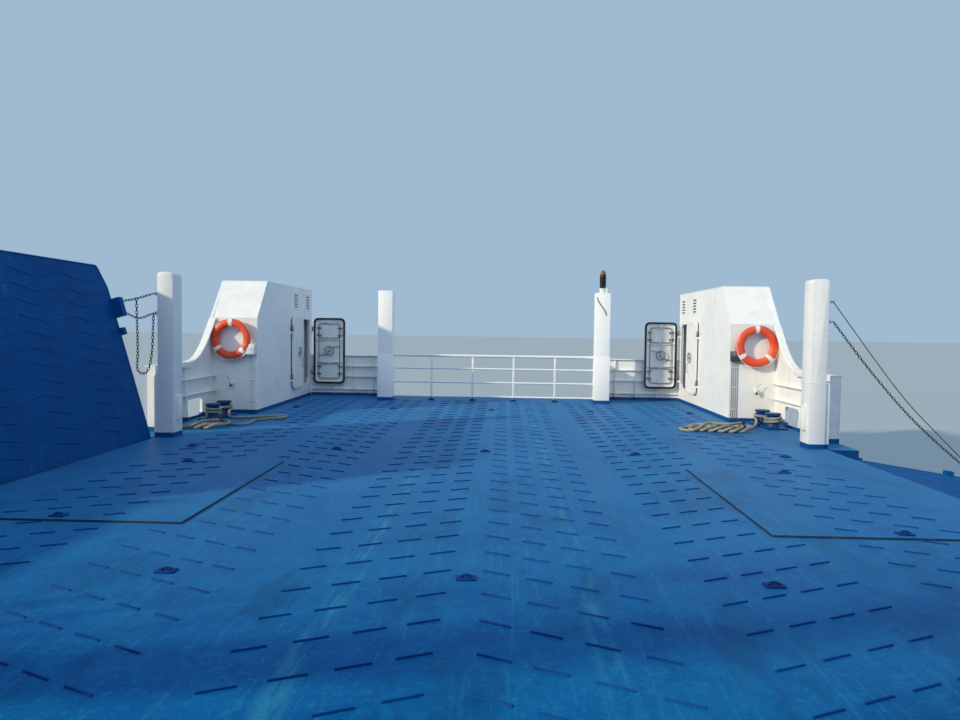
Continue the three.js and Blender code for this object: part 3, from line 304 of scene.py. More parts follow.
def use(tool, place, **inputs):
    """Places a node group, and gives its outputs."""
    return put(place.id_data, "ShaderNodeGroup", {"Place": place, **inputs}, node_tree=tool).outputs


def hue(value):
    """A colour as it stands, or by its name among the ferry's colours."""
    return tuple(getattr(colours(), value)) if isinstance(value, str) else value


def darker(name, share):
    return tuple(share * value for value in hue(name))


def new_material(name):
    """A material, its Principled shader and the object's own coordinates."""
    made = bpy.data.materials.new(name)
    made.use_nodes = True
    return made, made.node_tree.nodes["Principled BSDF"], put(made.node_tree, "ShaderNodeTexCoord").outputs["Object"]


def wire(shader, colour, rough, relief=None, distance=0.01, strength=0.5):
    tree = shader.id_data
    feeds = {"Base Color": colour, "Roughness": rough}
    if relief is not None:
        bump = put(tree, "ShaderNodeBump", {"Strength": strength, "Distance": distance, "Height": relief})
        feeds["Normal"] = bump.outputs["Normal"]
    for key, socket in feeds.items():
        tree.links.new(socket, shader.inputs[key])


def remembered(build, *values, **more):
    """Each finish is made once, when the first piece asks for it."""
    kept = {}

    def get():
        if "made" not in kept:
            kept["made"] = build(*values, **more)
        return kept["made"]
    return get


def weathered(place, paint, faded, fading, streaks, rusting, gloss):
    return use(
        weathered_paint(), place, Paint=hue(paint), Faded=hue(faded), Fading=fading, Streaks=streaks,
        Rusting=rusting, Gloss=gloss, Rust=hue("rust"),
    )


def painted(name, paint, faded, fading, streaks, rusting, gloss, foot=False, shine=0.4):
    """Weathered paint. foot adds the darker band at the deck."""
    made, shader, place = new_material(name)
    out = weathered(place, paint, faded, fading, streaks, rusting, gloss)
    colour = out["Colour"]
    if foot:
        band = use(height_band(), place, Low=DECK - 0.2, High=DECK + sizes().foot_band, Waver=0.012)["Mask"]
        colour = mixed(band, colour, hue("foot"))
    wire(shader, colour, out["Roughness"], out["Relief"], 0.004, 0.35)
    shader.inputs["Specular IOR Level"].default_value = shine
    return made


def metal(name, tone, rusting):
    made, shader, place = new_material(name)
    out = use(steel_grain(), place, Steel=hue(tone), Rusting=rusting, Rust=hue("rust"))
    wire(shader, out["Colour"], out["Roughness"], out["Relief"], 0.002, 0.4)
    shader.id_data.links.new(out["Bare"], shader.inputs["Metallic"])
    return made


def moulded(name, body, pale, dust, gloss):
    made, shader, place = new_material(name)
    out = use(moulded_skin(), place, Body=hue(body), Pale=pale, Dust=dust, Gloss=gloss)
    wire(shader, out["Colour"], out["Roughness"], out["Relief"], 0.001, 0.3)
    return made


# Paints: colour, faded colour, fading, streaks, rusting, roughness
BOTTOM = ("bottom", (0.1, 0.05, 0.04), 0.6, 0.3, 0.3, 0.62)
white_paint = remembered(painted, "White plating paint", "white", "white_aged", 0.3, 0.22, 0.5, 0.38, foot=True)
# The end posts' white is paler than the plating's: painted light, for the brighter light that falls on them
brightened_post_paint = remembered(painted, "White end post paint", (0.96, 0.96, 0.94), "white", 0.3, 0.1, 0.4, 0.36, foot=True)
door_paint = remembered(painted, "White door paint", "white", "white_aged", 0.35, 0.35, 0.9, 0.4)
rail_paint = remembered(painted, "White rail paint", "white", "white_aged", 0.25, 0.2, 0.35, 0.35)
gloss_blue = remembered(painted, "Gloss blue paint", "gloss_blue", "ramp", 0.3, 0.15, 0.5, 0.34, shine=0.2)
dark_blue = remembered(painted, "Dark blue ramp paint", "ramp", "deck", 0.25, 0.25, 0.35, 0.5, shine=0.05)
bottom_paint = remembered(painted, "Bottom paint", *BOTTOM)
# Grip bars are a darker blue than the deck: painted shade for the shadow they show
bar_paint = remembered(painted, "Grip bar paint", (0.002, 0.05, 0.24), "deck", 0.3, 0.0, 0.5, 0.55, shine=0.1)
lug_paint = remembered(painted, "Lug paint", (0.002, 0.03, 0.17), "deck", 0.25, 0.0, 0.5, 0.5, shine=0.1)
ramp_bar_paint = remembered(painted, "Ramp bar paint", (0.001, 0.088, 0.3), "deck", 0.5, 0.1, 0.3, 0.5, shine=0.1)
chain_steel = remembered(
    painted, "Tarred chain steel", (0.018, 0.017, 0.016), (0.075, 0.05, 0.034), 0.45, 0.0, 0.9, 0.5, shine=0.3,
)
galvanised = remembered(metal, "Galvanised steel", "steel", 0.35)
bronze = remembered(metal, "Cast bronze", "bronze", 0.0)
# Mouldings: colour, paler colour, dust, roughness
buoy_shell = remembered(moulded, "Lifebuoy shell", "buoy", (0.85, 0.34, 0.2), 0.45, 0.42)
buoy_band = remembered(moulded, "Lifebuoy bands", (0.82, 0.85, 0.84), (0.6, 0.6, 0.57), 0.35, 0.3)
rubber = remembered(moulded, "Black rubber", (0.012, 0.012, 0.013), (0.09, 0.09, 0.09), 0.4, 0.6)
lamp_black = remembered(moulded, "Black lantern", (0.01, 0.01, 0.012), (0.1, 0.1, 0.1), 0.25, 0.28)
white_plastic = remembered(moulded, "White moulding", (0.8, 0.81, 0.79), (0.55, 0.54, 0.5), 0.4, 0.35)
seat_shell = remembered(moulded, "Chair shell", "seat", (0.2, 0.26, 0.34), 0.4, 0.45)
console_skin = remembered(moulded, "Console panels", (0.035, 0.038, 0.045), (0.16, 0.16, 0.17), 0.4, 0.5)
green_lens = remembered(moulded, "Green lens", (0.01, 0.3, 0.08), (0.2, 0.4, 0.26), 0.2, 0.12)
red_lens = remembered(moulded, "Red lens", (0.42, 0.012, 0.008), (0.45, 0.18, 0.16), 0.2, 0.12)


@remembered
def hull_paint():
    """The deck is mid blue, the sides dark blue, and the bottom red-brown under the water."""
    made, shader, place = new_material("Hull and deck paint")
    tree, water = made.node_tree, sizes().waterline
    xyz = parts(place)
    up = upward(tree)
    from_middle, from_midships = reckon("ABSOLUTE", xyz["X"]), reckon("ABSOLUTE", xyz["Y"])
    deck = weathered(place, "deck", "deck_faded", 0.34, 0.0, 0.35, 0.4)
    # Tyres polish two lines along the deck, and feet scuff it between them
    wander = times(mottle(stretched(place, 0.2, 0.5, 1.0), 1.0, 2.0), 0.12)
    near_line = reckon("ABSOLUTE", plus(minus(from_middle, 0.75), minus(wander, 0.06)))
    broken = patches(stretched(place, 6.0, 0.8, 1.0), 2.0, 5.0, 0.65, 0.45, 0.6)
    line = times(minus(1.0, between(near_line, 0.01, 0.11)), times(broken, 0.5))
    surface = mixed(line, deck["Colour"], (0.05, 0.34, 0.5))
    # Scuffs, pools, scratches along the boat, pale chips, dark specks, and a film of rubber
    for pattern, share, tone in (
        ((stretched(place, 2.4, 0.9, 1.0), 3.0, 7.0, 0.7, 0.56, 0.72), 0.6, hue("deck_faded")),
        ((place, 1.3, 4.0, 0.6, 0.56, 0.7), 0.3, darker("deck", 0.6)),
        ((stretched(place, 22.0, 0.9, 1.0), 1.0, 6.0, 0.75, 0.55, 0.63), 0.28, (0.02, 0.29, 0.52)),
        ((place, 24.0, 7.0, 0.75, 0.54, 0.61), 0.35, (0.02, 0.28, 0.5)),
        ((place, 52.0, 5.0, 0.7, 0.54, 0.6), 0.26, darker("deck", 0.35)),
        ((stretched(place, 0.8, 0.35, 1.0), 2.2, 6.0, 0.7, 0.5, 0.66), 0.5, darker("deck", 0.5)),
    ):
        surface = mixed(times(patches(*pattern), share), surface, tone)
    # A painted sheen: the paint is paled where it is seen at a low angle, standing in for the sky's reflection
    facing = put(tree, "ShaderNodeLayerWeight", {"Blend": 0.5}).outputs["Facing"]
    surface = mixed(times(between(facing, 0.5, 0.95), 0.34), surface, (0.095, 0.262, 0.455))
    side = weathered(place, "side", "ramp", 0.4, 0.35, 0.7, 0.38)
    bottom = weathered(place, *BOTTOM)
    under = minus(1.0, between(xyz["Z"], water - 0.004, water + 0.004))
    # The sloping undersides of both ends carry bottom paint, and no white line
    steep = between(up, -0.9, -0.8)
    overhang = times(minus(1.0, steep), minus(1.0, between(xyz["Z"], 1.7, 1.72)))
    # So do the shaft brackets and the rudder trunks
    outer = reckon("MAXIMUM", between(from_middle, 3.9, 4.0), between(from_midships, 18.4, 18.5))
    outer = reckon("MAXIMUM", outer, between(xyz["Z"], 1.9, 1.92))
    under = reckon("MAXIMUM", reckon("MAXIMUM", under, overhang), minus(1.0, outer))
    boot = use(height_band(), place, Low=water, High=water + 0.16, Waver=0.01)["Mask"]
    boot = times(times(boot, steep), outer)
    flank = mixed(boot, mixed(under, side["Colour"], bottom["Colour"]), (0.62, 0.64, 0.64))
    top = times(between(up, 0.4, 0.6), between(xyz["Z"], DECK - 0.45, DECK - 0.44))
    rough = plus(deck["Roughness"], times(under, 0.2))
    relief = plus(deck["Relief"], times(mottle(place, 90.0, 3.0, 0.6), 0.25))
    wire(shader, mixed(top, flank, surface), rough, relief, 0.006, 0.35)
    shader.inputs["Specular IOR Level"].default_value = 0.03
    return made


@remembered
def amber_lens():
    made, shader, place = new_material("Amber lens")
    rings = put(made.node_tree, "ShaderNodeTexWave", {"Vector": stretched(place, 0.0, 0.0, 60.0), "Scale": 1.0},
                wave_type="BANDS", bands_direction="Z").outputs["Fac"]
    colour = mixed(rings, (0.14, 0.05, 0.015), (0.3, 0.12, 0.03))
    wire(shader, colour, plus(0.12, times(rings, 0.1)), rings, 0.002, 0.6)
    return made


@remembered
def window_glass():
    made, shader, place = new_material("Window glass")
    smear = patches(stretched(place, 1.0, 1.0, 0.5), 5.0, 5.0, 0.6, 0.5, 0.8)
    wire(shader, mixed(smear, hue("glass"), (0.7, 0.72, 0.7)), plus(0.04, times(smear, 0.18)))
    shader.inputs["Transmission Weight"].default_value = 0.9
    shader.inputs["IOR"].default_value = 1.45
    return made


@remembered
def rope_fibre():
    """Laid strands: yarns follow the UV map along the rope, with patches of dirt and painted shade in the hollows
    between the strands.
    """
    made, shader, place = new_material("Laid rope fibre")
    xy = parts(put(made.node_tree, "ShaderNodeUVMap", uv_map="rope").outputs[0])
    strand = times(xy["Y"], 3.0 * 2.0 * math.pi)
    crown = reckon("ABSOLUTE", reckon("SINE", times(strand, 0.5)))
    yarn = reckon("SINE", plus(times(strand, 7.0), times(xy["X"], 260.0)))
    dirt = patches(place, 3.0, 5.0, 0.6, 0.42, 0.68)
    # Painted shade: the hollows between the strands are darkened towards near black
    colour = mixed(minus(1.0, crown), mixed(dirt, hue("rope"), (0.235, 0.24, 0.2)), (0.09, 0.085, 0.07))
    colour = mixed(times(plus(yarn, 1.0), 0.1), colour, (0.62, 0.6, 0.54))
    relief = plus(times(crown, 1.0), times(yarn, 0.12))
    wire(shader, colour, plus(0.78, times(dirt, 0.15)), relief, 0.004, 0.7)
    return made


@remembered
def deck_cover():
    """White plating whose upper faces carry grey-green deck paint."""
    made, shader, place = new_material("Upper deck paint")
    white = weathered(place, "white", "white_aged", 0.3, 0.3, 0.5, 0.38)
    walked = weathered(place, (0.05, 0.17, 0.26), (0.14, 0.25, 0.32), 0.5, 0.0, 0.5, 0.55)
    colour = mixed(between(upward(made.node_tree), 0.5, 0.7), white["Colour"], walked["Colour"])
    wire(shader, colour, white["Roughness"], white["Relief"], 0.004, 0.35)
    return made


# Shapes: each gives a small bmesh that a piece takes in

FLIP = Matrix.Diagonal((-1, 1, 1, 1))
ONCE, BOTH = (Matrix(),), (Matrix(), FLIP)
MIRROR = {1: (Matrix(),), -1: (FLIP,)}


def at(*place, turn=0.0, axis="Z"):
    return Matrix.Translation(place) @ Matrix.Rotation(math.radians(turn), 4, axis)


def soften(shape, edges, by, segments=2):
    if by > 0.0:
        bmesh.ops.bevel(
            shape, geom=list(edges), offset=by, offset_type="OFFSET", affect="EDGES", segments=segments,
            profile=0.5, material=-1,
        )


def block(corner, far_corner, round_by=0.0, segments=2):
    """A plate or box between two corners, its edges rounded."""
    shape = bmesh.new()
    corner, far_corner = Vector(corner), Vector(far_corner)
    size = (abs(value) for value in far_corner - corner)
    place = Matrix.Translation((corner + far_corner) / 2) @ Matrix.Diagonal((*size, 1.0))
    bmesh.ops.create_cube(shape, size=1.0, matrix=place)
    soften(shape, shape.edges, round_by, segments)
    return shape


def along(start, end):
    """The turn and place that bring +Z onto the line from start to end, at its middle."""
    start, end = Vector(start), Vector(end)
    turn = Vector((0, 0, 1)).rotation_difference(end - start).to_matrix().to_4x4()
    return Matrix.Translation((start + end) / 2) @ turn


def round_bar(start, end, radius, sides=12, far_radius=None, round_by=0.0):
    shape = bmesh.new()
    bmesh.ops.create_cone(
        shape, cap_ends=True, cap_tris=False, segments=sides, radius1=radius,
        radius2=radius if far_radius is None else far_radius,
        depth=(Vector(end) - Vector(start)).length, matrix=along(start, end),
    )
    soften(shape, (edge for edge in shape.edges if any(len(face.verts) > 4 for face in edge.link_faces)), round_by)
    return shape


def turned(profile, place, sides=24):
    """A profile of [radius, height] spun round the upright axis at place."""
    shape = bmesh.new()
    row = [shape.verts.new((radius, 0.0, height)) for radius, height in profile]
    edges = [shape.edges.new(pair) for pair in zip(row, row[1:])]
    bmesh.ops.spin(
        shape, geom=row + edges, cent=(0, 0, 0), axis=(0, 0, 1), angle=2 * math.pi, steps=sides,
        use_merge=True,
    )
    bmesh.ops.remove_doubles(shape, verts=shape.verts, dist=1e-5)
    matrix = place if isinstance(place, Matrix) else Matrix.Translation(place)
    bmesh.ops.transform(shape, matrix=matrix, verts=shape.verts)
    return shape


def hoop(radius, wire_radius, place, steps=24, sides=8, angle=2 * math.pi, squeeze=1.0):
    """A ring of round wire in the XY plane of place, or a part of one."""
    shape = bmesh.new()
    ring = bmesh.ops.create_circle(
        shape, cap_ends=False, segments=sides, radius=wire_radius,
        matrix=at(radius, 0, 0, turn=90, axis="X"),
    )["verts"]
    bmesh.ops.scale(shape, vec=(1.0, 1.0, squeeze), verts=ring)
    whole = abs(angle - 2 * math.pi) < 1e-6
    if not whole:
        bmesh.ops.contextual_create(shape, geom=list(shape.edges))
    bmesh.ops.spin(
        shape, geom=list(shape.verts) + list(shape.edges) + list(shape.faces), cent=(0, 0, 0),
        axis=(0, 0, 1), angle=angle, steps=steps, use_merge=whole,
    )
    bmesh.ops.remove_doubles(shape, verts=shape.verts, dist=1e-5)
    bmesh.ops.transform(shape, matrix=place, verts=shape.verts)
    return shape


def cut_out(points, axis, low, high, round_by=0.0):
    """A plate with an outline in the two other axes, in order, between two planes of one axis."""
    shape = bmesh.new()
    order = {"X": (1, 2, 0), "Y": (0, 2, 1), "Z": (0, 1, 2)}[axis]

    def place(a, b, c):
        spot = [0.0, 0.0, 0.0]
        for index, value in zip(order, (a, b, c)):
            spot[index] = value
        return spot
    face = shape.faces.new([shape.verts.new(place(a, b, low)) for a, b in points])
    moved = bmesh.ops.extrude_face_region(shape, geom=[face])["geom"]
    shift = Vector(place(0.0, 0.0, high - low))
    bmesh.ops.translate(shape, vec=shift, verts=[g for g in moved if isinstance(g, bmesh.types.BMVert)])
    soften(shape, shape.edges, round_by)
    return shape


def rounded_outline(a0, a1, b0, b1, radius, steps=6):
    """Corner points of a rectangle with round corners."""
    points = []
    for ca, cb, start in (
        (a1 - radius, b0 + radius, -90), (a1 - radius, b1 - radius, 0),
        (a0 + radius, b1 - radius, 90), (a0 + radius, b0 + radius, 180),
    ):
        for step in range(steps + 1):
            angle = math.radians(start + 90 * step / steps)
            points.append((ca + radius * math.cos(angle), cb + radius * math.sin(angle)))
    return points


def bent_pipe(points, radius, sides=10, closed=False):
    """A round pipe or rod through points, mitred at each."""
    curve = bpy.data.curves.new("bent pipe", "CURVE")
    curve.dimensions = "3D"
    curve.bevel_depth = radius
    curve.bevel_resolution = max(1, (sides - 4) // 4)
    curve.use_fill_caps = True
    spline = curve.splines.new("POLY")
    spline.points.add(len(points) - 1)
    for spot, point in zip(spline.points, points):
        spot.co = (*point, 1.0)
    spline.use_cyclic_u = closed
    holder = bpy.data.objects.new("bent pipe", curve)
    mesh = holder.to_mesh()
    shape = bmesh.new()
    shape.from_mesh(mesh)
    holder.to_mesh_clear()
    bpy.data.objects.remove(holder)
    bpy.data.curves.remove(curve)
    bmesh.ops.remove_doubles(shape, verts=shape.verts, dist=1e-6)
    return shape


def soft_bend(corners, radius, steps=5):
    """A path whose inner corners are rounded."""
    path = [Vector(corners[0])]
    for before, corner, after in zip(corners, corners[1:], corners[2:]):
        corner = Vector(corner)
        back = (Vector(before) - corner).normalized()
        ahead = (Vector(after) - corner).normalized()
        start, end = corner + back * radius, corner + ahead * radius
        for step in range(steps + 1):
            t = step / steps
            path.append(start.lerp(corner, t).lerp(corner.lerp(end, t), t))
    path.append(Vector(corners[-1]))
    return path


class Piece:
    """One object in the making. Its shapes are raised by lift, and come once for each of its places."""

    def __init__(self, name, body="ship", lift=0.0, places=ONCE):
        self.name, self.body, self.places = name, body, places
        self.lift = Matrix.Translation((0, 0, lift))
        self.bm = bmesh.new()
        self.finishes = []

    def add(self, shape, finish, places=None):
        """Takes a shape in, in the given finish."""
        bmesh.ops.recalc_face_normals(shape, faces=shape.faces)
        if finish not in self.finishes:
            self.finishes.append(finish)
        for face in shape.faces:
            face.material_index = self.finishes.index(finish)
            face.smooth = True
        mesh = bpy.data.meshes.new("shape")
        for place in places or self.places:
            copy = shape.copy()
            bmesh.ops.transform(copy, matrix=self.lift @ place, verts=copy.verts)
            if place.determinant() < 0:
                bmesh.ops.reverse_faces(copy, faces=copy.faces)
            copy.to_mesh(mesh)
            copy.free()
            self.bm.from_mesh(mesh)
        bpy.data.meshes.remove(mesh)
        shape.free()

    def done(self, slot, replaces=()):
        mesh = bpy.data.meshes.new(self.name)
        self.bm.to_mesh(mesh)
        self.bm.free()
        for finish in self.finishes:
            mesh.materials.append(finish)
        mesh.set_sharp_from_angle(angle=math.radians(SHARP_ANGLE))
        made = bpy.data.objects.new(self.name, mesh)
        bpy.context.scene.collection.objects.link(made)
        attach(made, self.body)
        if replaces:
            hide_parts(*replaces)
        return made


def repaint(finish, *nodes):
    """Gives carried-over nodes their finish."""
    for name in nodes:
        mesh = frame["nodes"][name].data
        mesh.materials.clear()
        mesh.materials.append(finish)


def on_both(*names):
    return [f"{name}_{side}" for name in names for side in SIDES]


# Stage and camera

FLOOR_HALF = 260
# The suns: name, strength, spread, colour, azimuth, elevation; angles in degrees
SUNS = (
    ("key_light", 3.1, 2.5, (1, 0.88, 0.64), -149.2, 21.8),
    ("fill_light", 0.5, 60, (0.86, 0.93, 1), -76, 36),
)
CAMERA_PLACE = (0.22, 1.8, 4.226)
YAW, PITCH, ROLL = math.radians(1.83), math.radians(2.478), math.radians(0.766)
SENSOR_WIDTH, FOCAL_LENGTH = 36, 27.04


class FERRY_OT_stage(bpy.types.Operator):
    """Lays the plain floor at the waterline and sets soft light"""
    bl_idname = "ferry.stage"
    bl_label = "Stage and Light"

    def execute(self, context):
        floor = bmesh.new()
        bmesh.ops.create_grid(floor, x_segments=4, y_segments=4, size=FLOOR_HALF)
        bmesh.ops.translate(floor, vec=(0, 0, sizes().waterline), verts=floor.verts)
        mesh = bpy.data.meshes.new("stage_floor")
        floor.to_mesh(mesh)
        floor.free()
        made, shader, place = new_material("Pale floor")
        shade = mixed(mottle(place, 0.05, 2), hue("floor"), darker("floor", 1.04))
        wire(shader, shade, plus(0.8, times(mottle(place, 2), 0.1)))
        shader.inputs["Specular IOR Level"].default_value = 0.2
        mesh.materials.append(made)
        ground = bpy.data.objects.new("stage_floor", mesh)
        context.scene.collection.objects.link(ground)
        world = bpy.data.worlds.new("Soft studio")
        world.use_nodes = True
        back = world.node_tree.nodes["Background"]
        back.inputs["Color"].default_value = (*hue("world"), 1)
        back.inputs["Strength"].default_value = 1
        context.scene.world = world
        context.scene.view_settings.view_transform = "Standard"
        # A low warm light from port and astern, and a faint one from above
        for name, strength, spread, tone, azimuth, elevation in SUNS:
            lamp = bpy.data.lights.new(name, "SUN")
            lamp.energy = strength
            lamp.angle = math.radians(spread)
            lamp.color = tone
            light = bpy.data.objects.new(name, lamp)
            a, e = math.radians(azimuth), math.radians(elevation)
            toward = Vector((math.cos(e) * math.cos(a), math.cos(e) * math.sin(a), math.sin(e)))
            light.rotation_euler = toward.to_track_quat("Z", "Y").to_euler()
            context.scene.collection.objects.link(light)
        return {"FINISHED"}


class FERRY_OT_camera(bpy.types.Operator):
    """Places the camera on the deck, looking at the open end"""
    bl_idname = "ferry.camera"
    bl_label = "Camera"

    def execute(self, context):
        lens = bpy.data.cameras.new("deck_camera")
        lens.sensor_fit = "HORIZONTAL"
        lens.sensor_width = SENSOR_WIDTH
        lens.lens = FOCAL_LENGTH
        lens.clip_start = 0.05
        lens.clip_end = 900
        camera = bpy.data.objects.new("deck_camera", lens)
        ahead = Vector((-math.sin(YAW) * math.cos(PITCH), math.cos(YAW) * math.cos(PITCH), -math.sin(PITCH)))
        right = Vector((math.cos(YAW), math.sin(YAW), 0))
        up = right.cross(ahead)
        rolled_right = right * math.cos(ROLL) + up * math.sin(ROLL)
        rolled_up = up * math.cos(ROLL) - right * math.sin(ROLL)
        turn = Matrix((rolled_right, rolled_up, -ahead)).transposed().to_4x4()
        camera.matrix_world = Matrix.Translation(CAMERA_PLACE) @ turn
        context.scene.collection.objects.link(camera)
        context.scene.camera = camera
        return {"FINISHED"}


# Mooring ropes: turns round the front post, half a turn and one more round the rear post, then a heap on deck

POST_X, FRONT_POST, REAR_POST = 4.815, 14.15, 14.65
TURN_RADIUS = 0.1245


def smooth(t):
    t = min(1, max(0, t))
    return t * t * (3 - 2 * t)


def wound_turns(middle_y, start, turns, low, rise):
    """Turns round a post, anticlockwise from a bearing, climbing by rise a turn."""
    points = []
    for index in range(int(turns * 26) + 1):
        done = index / 26
        angle = math.radians(start + 360 * done)
        points.append(Vector((
            POST_X + TURN_RADIUS * math.cos(angle), middle_y + TURN_RADIUS * math.sin(angle), DECK + low + rise * done,
        )))
    return points


def cast_heap(entry, ahead, loops, step, long, wide, diameter):
    """Loops cast one over the next: each passes under its follower on the far side and over on the near side."""
    low = DECK + diameter / 2 + 0.001
    lift = diameter + 0.004
    points = []
    for index in range(int(loops * 32) + 1):
        t = index / 32
        part = t % 1
        over = smooth((part - 0.44) / 0.12) * smooth((1.06 - part) / 0.12)
        if t > 0.5:
            over += smooth((0.06 - part) / 0.12)
        u = step * t + long * math.sin(2 * math.pi * t)
        v = wide * (math.cos(2 * math.pi * t) - 1)
        points.append(Vector((entry[0] + ahead * u, entry[1] + v, low + lift * min(1, over))))
    # The tail comes back over the loops in bends
    last, middle = points[-1].copy(), entry[1] - wide
    reach = abs(last.x - entry[0]) + 0.02
    for index in range(1, 27):
        t = index / 26
        gone = reach * t
        sway = 0.075 * math.sin(2 * math.pi * gone / 0.66 - 0.6)
        y = last.y + (middle + sway - last.y) * smooth(gone / 0.52)
        points.append(Vector((last.x - ahead * gone, y, last.z + (low + 2 * lift - last.z) * smooth(gone / 0.2))))
    return points


def flowing(points, step):
    """An even path through points, without corners."""
    path = []
    for index in range(len(points) - 1):
        before = points[max(0, index - 1)]
        start, end = points[index], points[index + 1]
        after = points[min(len(points) - 1, index + 2)]
        count = max(1, int((end - start).length / step))
        for part in range(count):
            t = part / count
            path.append(0.5 * (
                2 * start + (end - before) * t + (2 * before - 5 * start + 4 * end - after) * t ** 2
                + (3 * start - before - 3 * end + after) * t ** 3
            ))
    path.append(points[-1])
    return path


def even(path, step):
    """The same path with its points a step apart."""
    spots = [path[0].copy()]
    walked, goal = 0, step
    for start, end in zip(path, path[1:]):
        span = (end - start).length
        while span > 0 and walked + span >= goal:
            spots.append(start.lerp(end, (goal - walked) / span))
            goal += step
        walked += span
    if (spots[-1] - path[-1]).length > step * 0.3:
        spots.append(path[-1].copy())
    return spots


def casual(point):
    """Sways a lay of rope, without closing its gaps, and leaves the bollard alone."""
    x, y, z = point
    free = smooth((4.52 - x) / 0.35)
    sway = 0.03 * math.sin(5.7 * x + 0.8) + 0.012 * math.sin(11 * x)
    push = 0.014 * math.sin(7 * y + 1)
    return Vector((x + free * push, y + free * sway, z))


def laid_rope(name, path, diameter, twist, side):
    """A tube with three strands that turn round each other."""
    radius = diameter / 2
    grooves = (0.74, 0.93, 1, 0.93)
    spots = even(path, 0.0125)
    bm = bmesh.new()
    strands = bm.loops.layers.uv.new("rope")
    across = None
    rings = []
    for index, spot in enumerate(spots):
        ahead = (spots[min(index + 1, len(spots) - 1)] - spots[max(index - 1, 0)]).normalized()
        if across is None:
            across = ahead.orthogonal().normalized()
        across = (across - ahead * across.dot(ahead)).normalized()
        other = ahead.cross(across)
        spin = 2 * math.pi * index * 0.0125 / twist
        ring = []
        for corner in range(12):
            angle = spin + 2 * math.pi * corner / 12
            reach = radius * grooves[corner % 4]
            ring.append(bm.verts.new(spot + across * math.cos(angle) * reach + other * math.sin(angle) * reach))
        rings.append(ring)
    for index, (ring, after) in enumerate(zip(rings, rings[1:])):
        for corner in range(12):
            nearby = (corner + 1) % 12
            face = bm.faces.new((ring[corner], ring[nearby], after[nearby], after[corner]))
            face.smooth = True
            for loop, (u, v) in zip(face.loops, ((0, 0), (0, 1), (1, 1), (1, 0))):
                loop[strands].uv = ((index + u) * 0.0125, (corner + v) / 12)
    for ring in (rings[0][::-1], rings[-1]):
        bm.faces.new(ring)
    if side < 0:
        bmesh.ops.transform(bm, matrix=FLIP, verts=bm.verts)
    bmesh.ops.recalc_face_normals(bm, faces=bm.faces)
    mesh = bpy.data.meshes.new(name)
    bm.to_mesh(mesh)
    bm.free()
    mesh.materials.append(rope_fibre())
    made = bpy.data.objects.new(name, mesh)
    bpy.context.scene.collection.objects.link(made)
    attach(made, "ship")
    return made


def rope_route(side_name, diameter):
    """From the foot of the front post's turns over to the rear post, down to the deck and into the heap."""
    low = DECK + diameter / 2 + 0.001
    route = wound_turns(FRONT_POST, 0, 2, 0.094, 0.049)
    route += wound_turns(REAR_POST, 0, 1.5, 0.191, -0.049)
    route += [Vector((x, y, DECK + z)) for x, y, z in (
        (4.672, 14.53, 0.1), (4.632, 14.4, 0.066), (4.572, 14.27, 0.034),
    )]
    if side_name == "stbd":
        route += [Vector(point) for point in ((4.5, 14.14, low), (4.4, 14.02, low), (4.3, 13.962, low))]
        route += cast_heap((4.2, 13.945), -1, 5.5, 0.158, 0.215, 0.225, diameter)
        return route
    route += [Vector((x, y, low)) for x, y in (
        (4.46, 14.2), (4.3, 14.22), (4.1, 14.34), (3.92, 14.47), (3.82, 14.515), (3.7, 14.51), (3.62, 14.44),
        (3.6, 14.34), (3.65, 14.24), (3.77, 14.15), (3.9, 14.06), (3.98, 13.92), (3.97, 13.74), (3.94, 13.56),
        (3.97, 13.42), (4.06, 13.335), (4.16, 13.325),
    )]
    route += cast_heap((4.25, 13.36), 1, 2.5, 0.16, 0.23, 0.27, diameter)
    return route


class FERRY_OT_ropes(bpy.types.Operator):
    """Winds and lays the two mooring ropes"""
    bl_idname = "ferry.ropes"
    bl_label = "Mooring Ropes"

    def execute(self, context):
        diameter = sizes().rope_diameter
        for side_name, side in SIDES.items():
            path = [casual(point) for point in flowing(rope_route(side_name, diameter), 0.02)]
            path = even(path, 0.02)
            rope = laid_rope(f"mooring_rope_{side_name}", path, diameter, sizes().rope_twist, side)
            ahead = (path[-1] - path[-4]).normalized()
            whipping = Piece(f"rope_whipping_{side_name}")
            whipping.add(
                round_bar(path[-1] - ahead * 0.05, path[-1] + ahead * 0.012, diameter / 2 + 0.002, 14, round_by=0.004),
                rubber(), MIRROR[side],
            )
            end = whipping.done("rope")
            shown = [Vector((side * p.x, p.y, p.z)) for p in path]
            whole = sum((b - a).length for a, b in zip(shown, shown[1:]))
            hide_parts(f"rope_turns_{side_name}", f"rope_heap_{side_name}", f"rope_lead_{side_name}")
            tuple(shown[0])
            [tuple(p) for p in shown]
        return {"FINISHED"}


# Deck fittings

# Grip bars to starboard: where a line of them passes and how it leans, then the ends of each bar in it
BAR_LINES = [
    ((1.12, 0, -0.46), ((0.107, 0.287), (0.387, 0.56), (0.667, 0.84), (0.953, 1.12))),
    ((1.547, -0.047, 0.46), ((1.547, 1.72), (1.827, 2), (2.107, 2.28), (2.387, 2.56))),
    ((2.97, 0.016, -0.46), ((2.97, 3.13), (3.24, 3.4), (3.53, 3.7), (3.83, 4))),
]
BAR_LANES = [(*ends, *line) for line, lanes in BAR_LINES for ends in lanes]
# What stands or lies on the deck, from and to in X, then in Y: casings, ropes, end rail, deckhouses
TAKEN = [
    (3.62, 6, -20, 0.7), (-6, -3.62, -20, 0.7), (3, 4.5, 13.3, 14.1), (-5.1, -3.6, 12.6, 13.95),
    (-2.3, 2.3, 17.95, 20), (4.2, 6, 15, 20), (-6, -4.2, 15, 20),
]
BAR_ROW = 7.347
HATCH = (2.39, 4.6, 7.553, 10.28)
HATCH_RISE = 0.015
LUG_ROWS = [6.42 + 4.87 * index for index in range(-4, 3)]
LUG_LANES = [0, 1.98, 3.93]


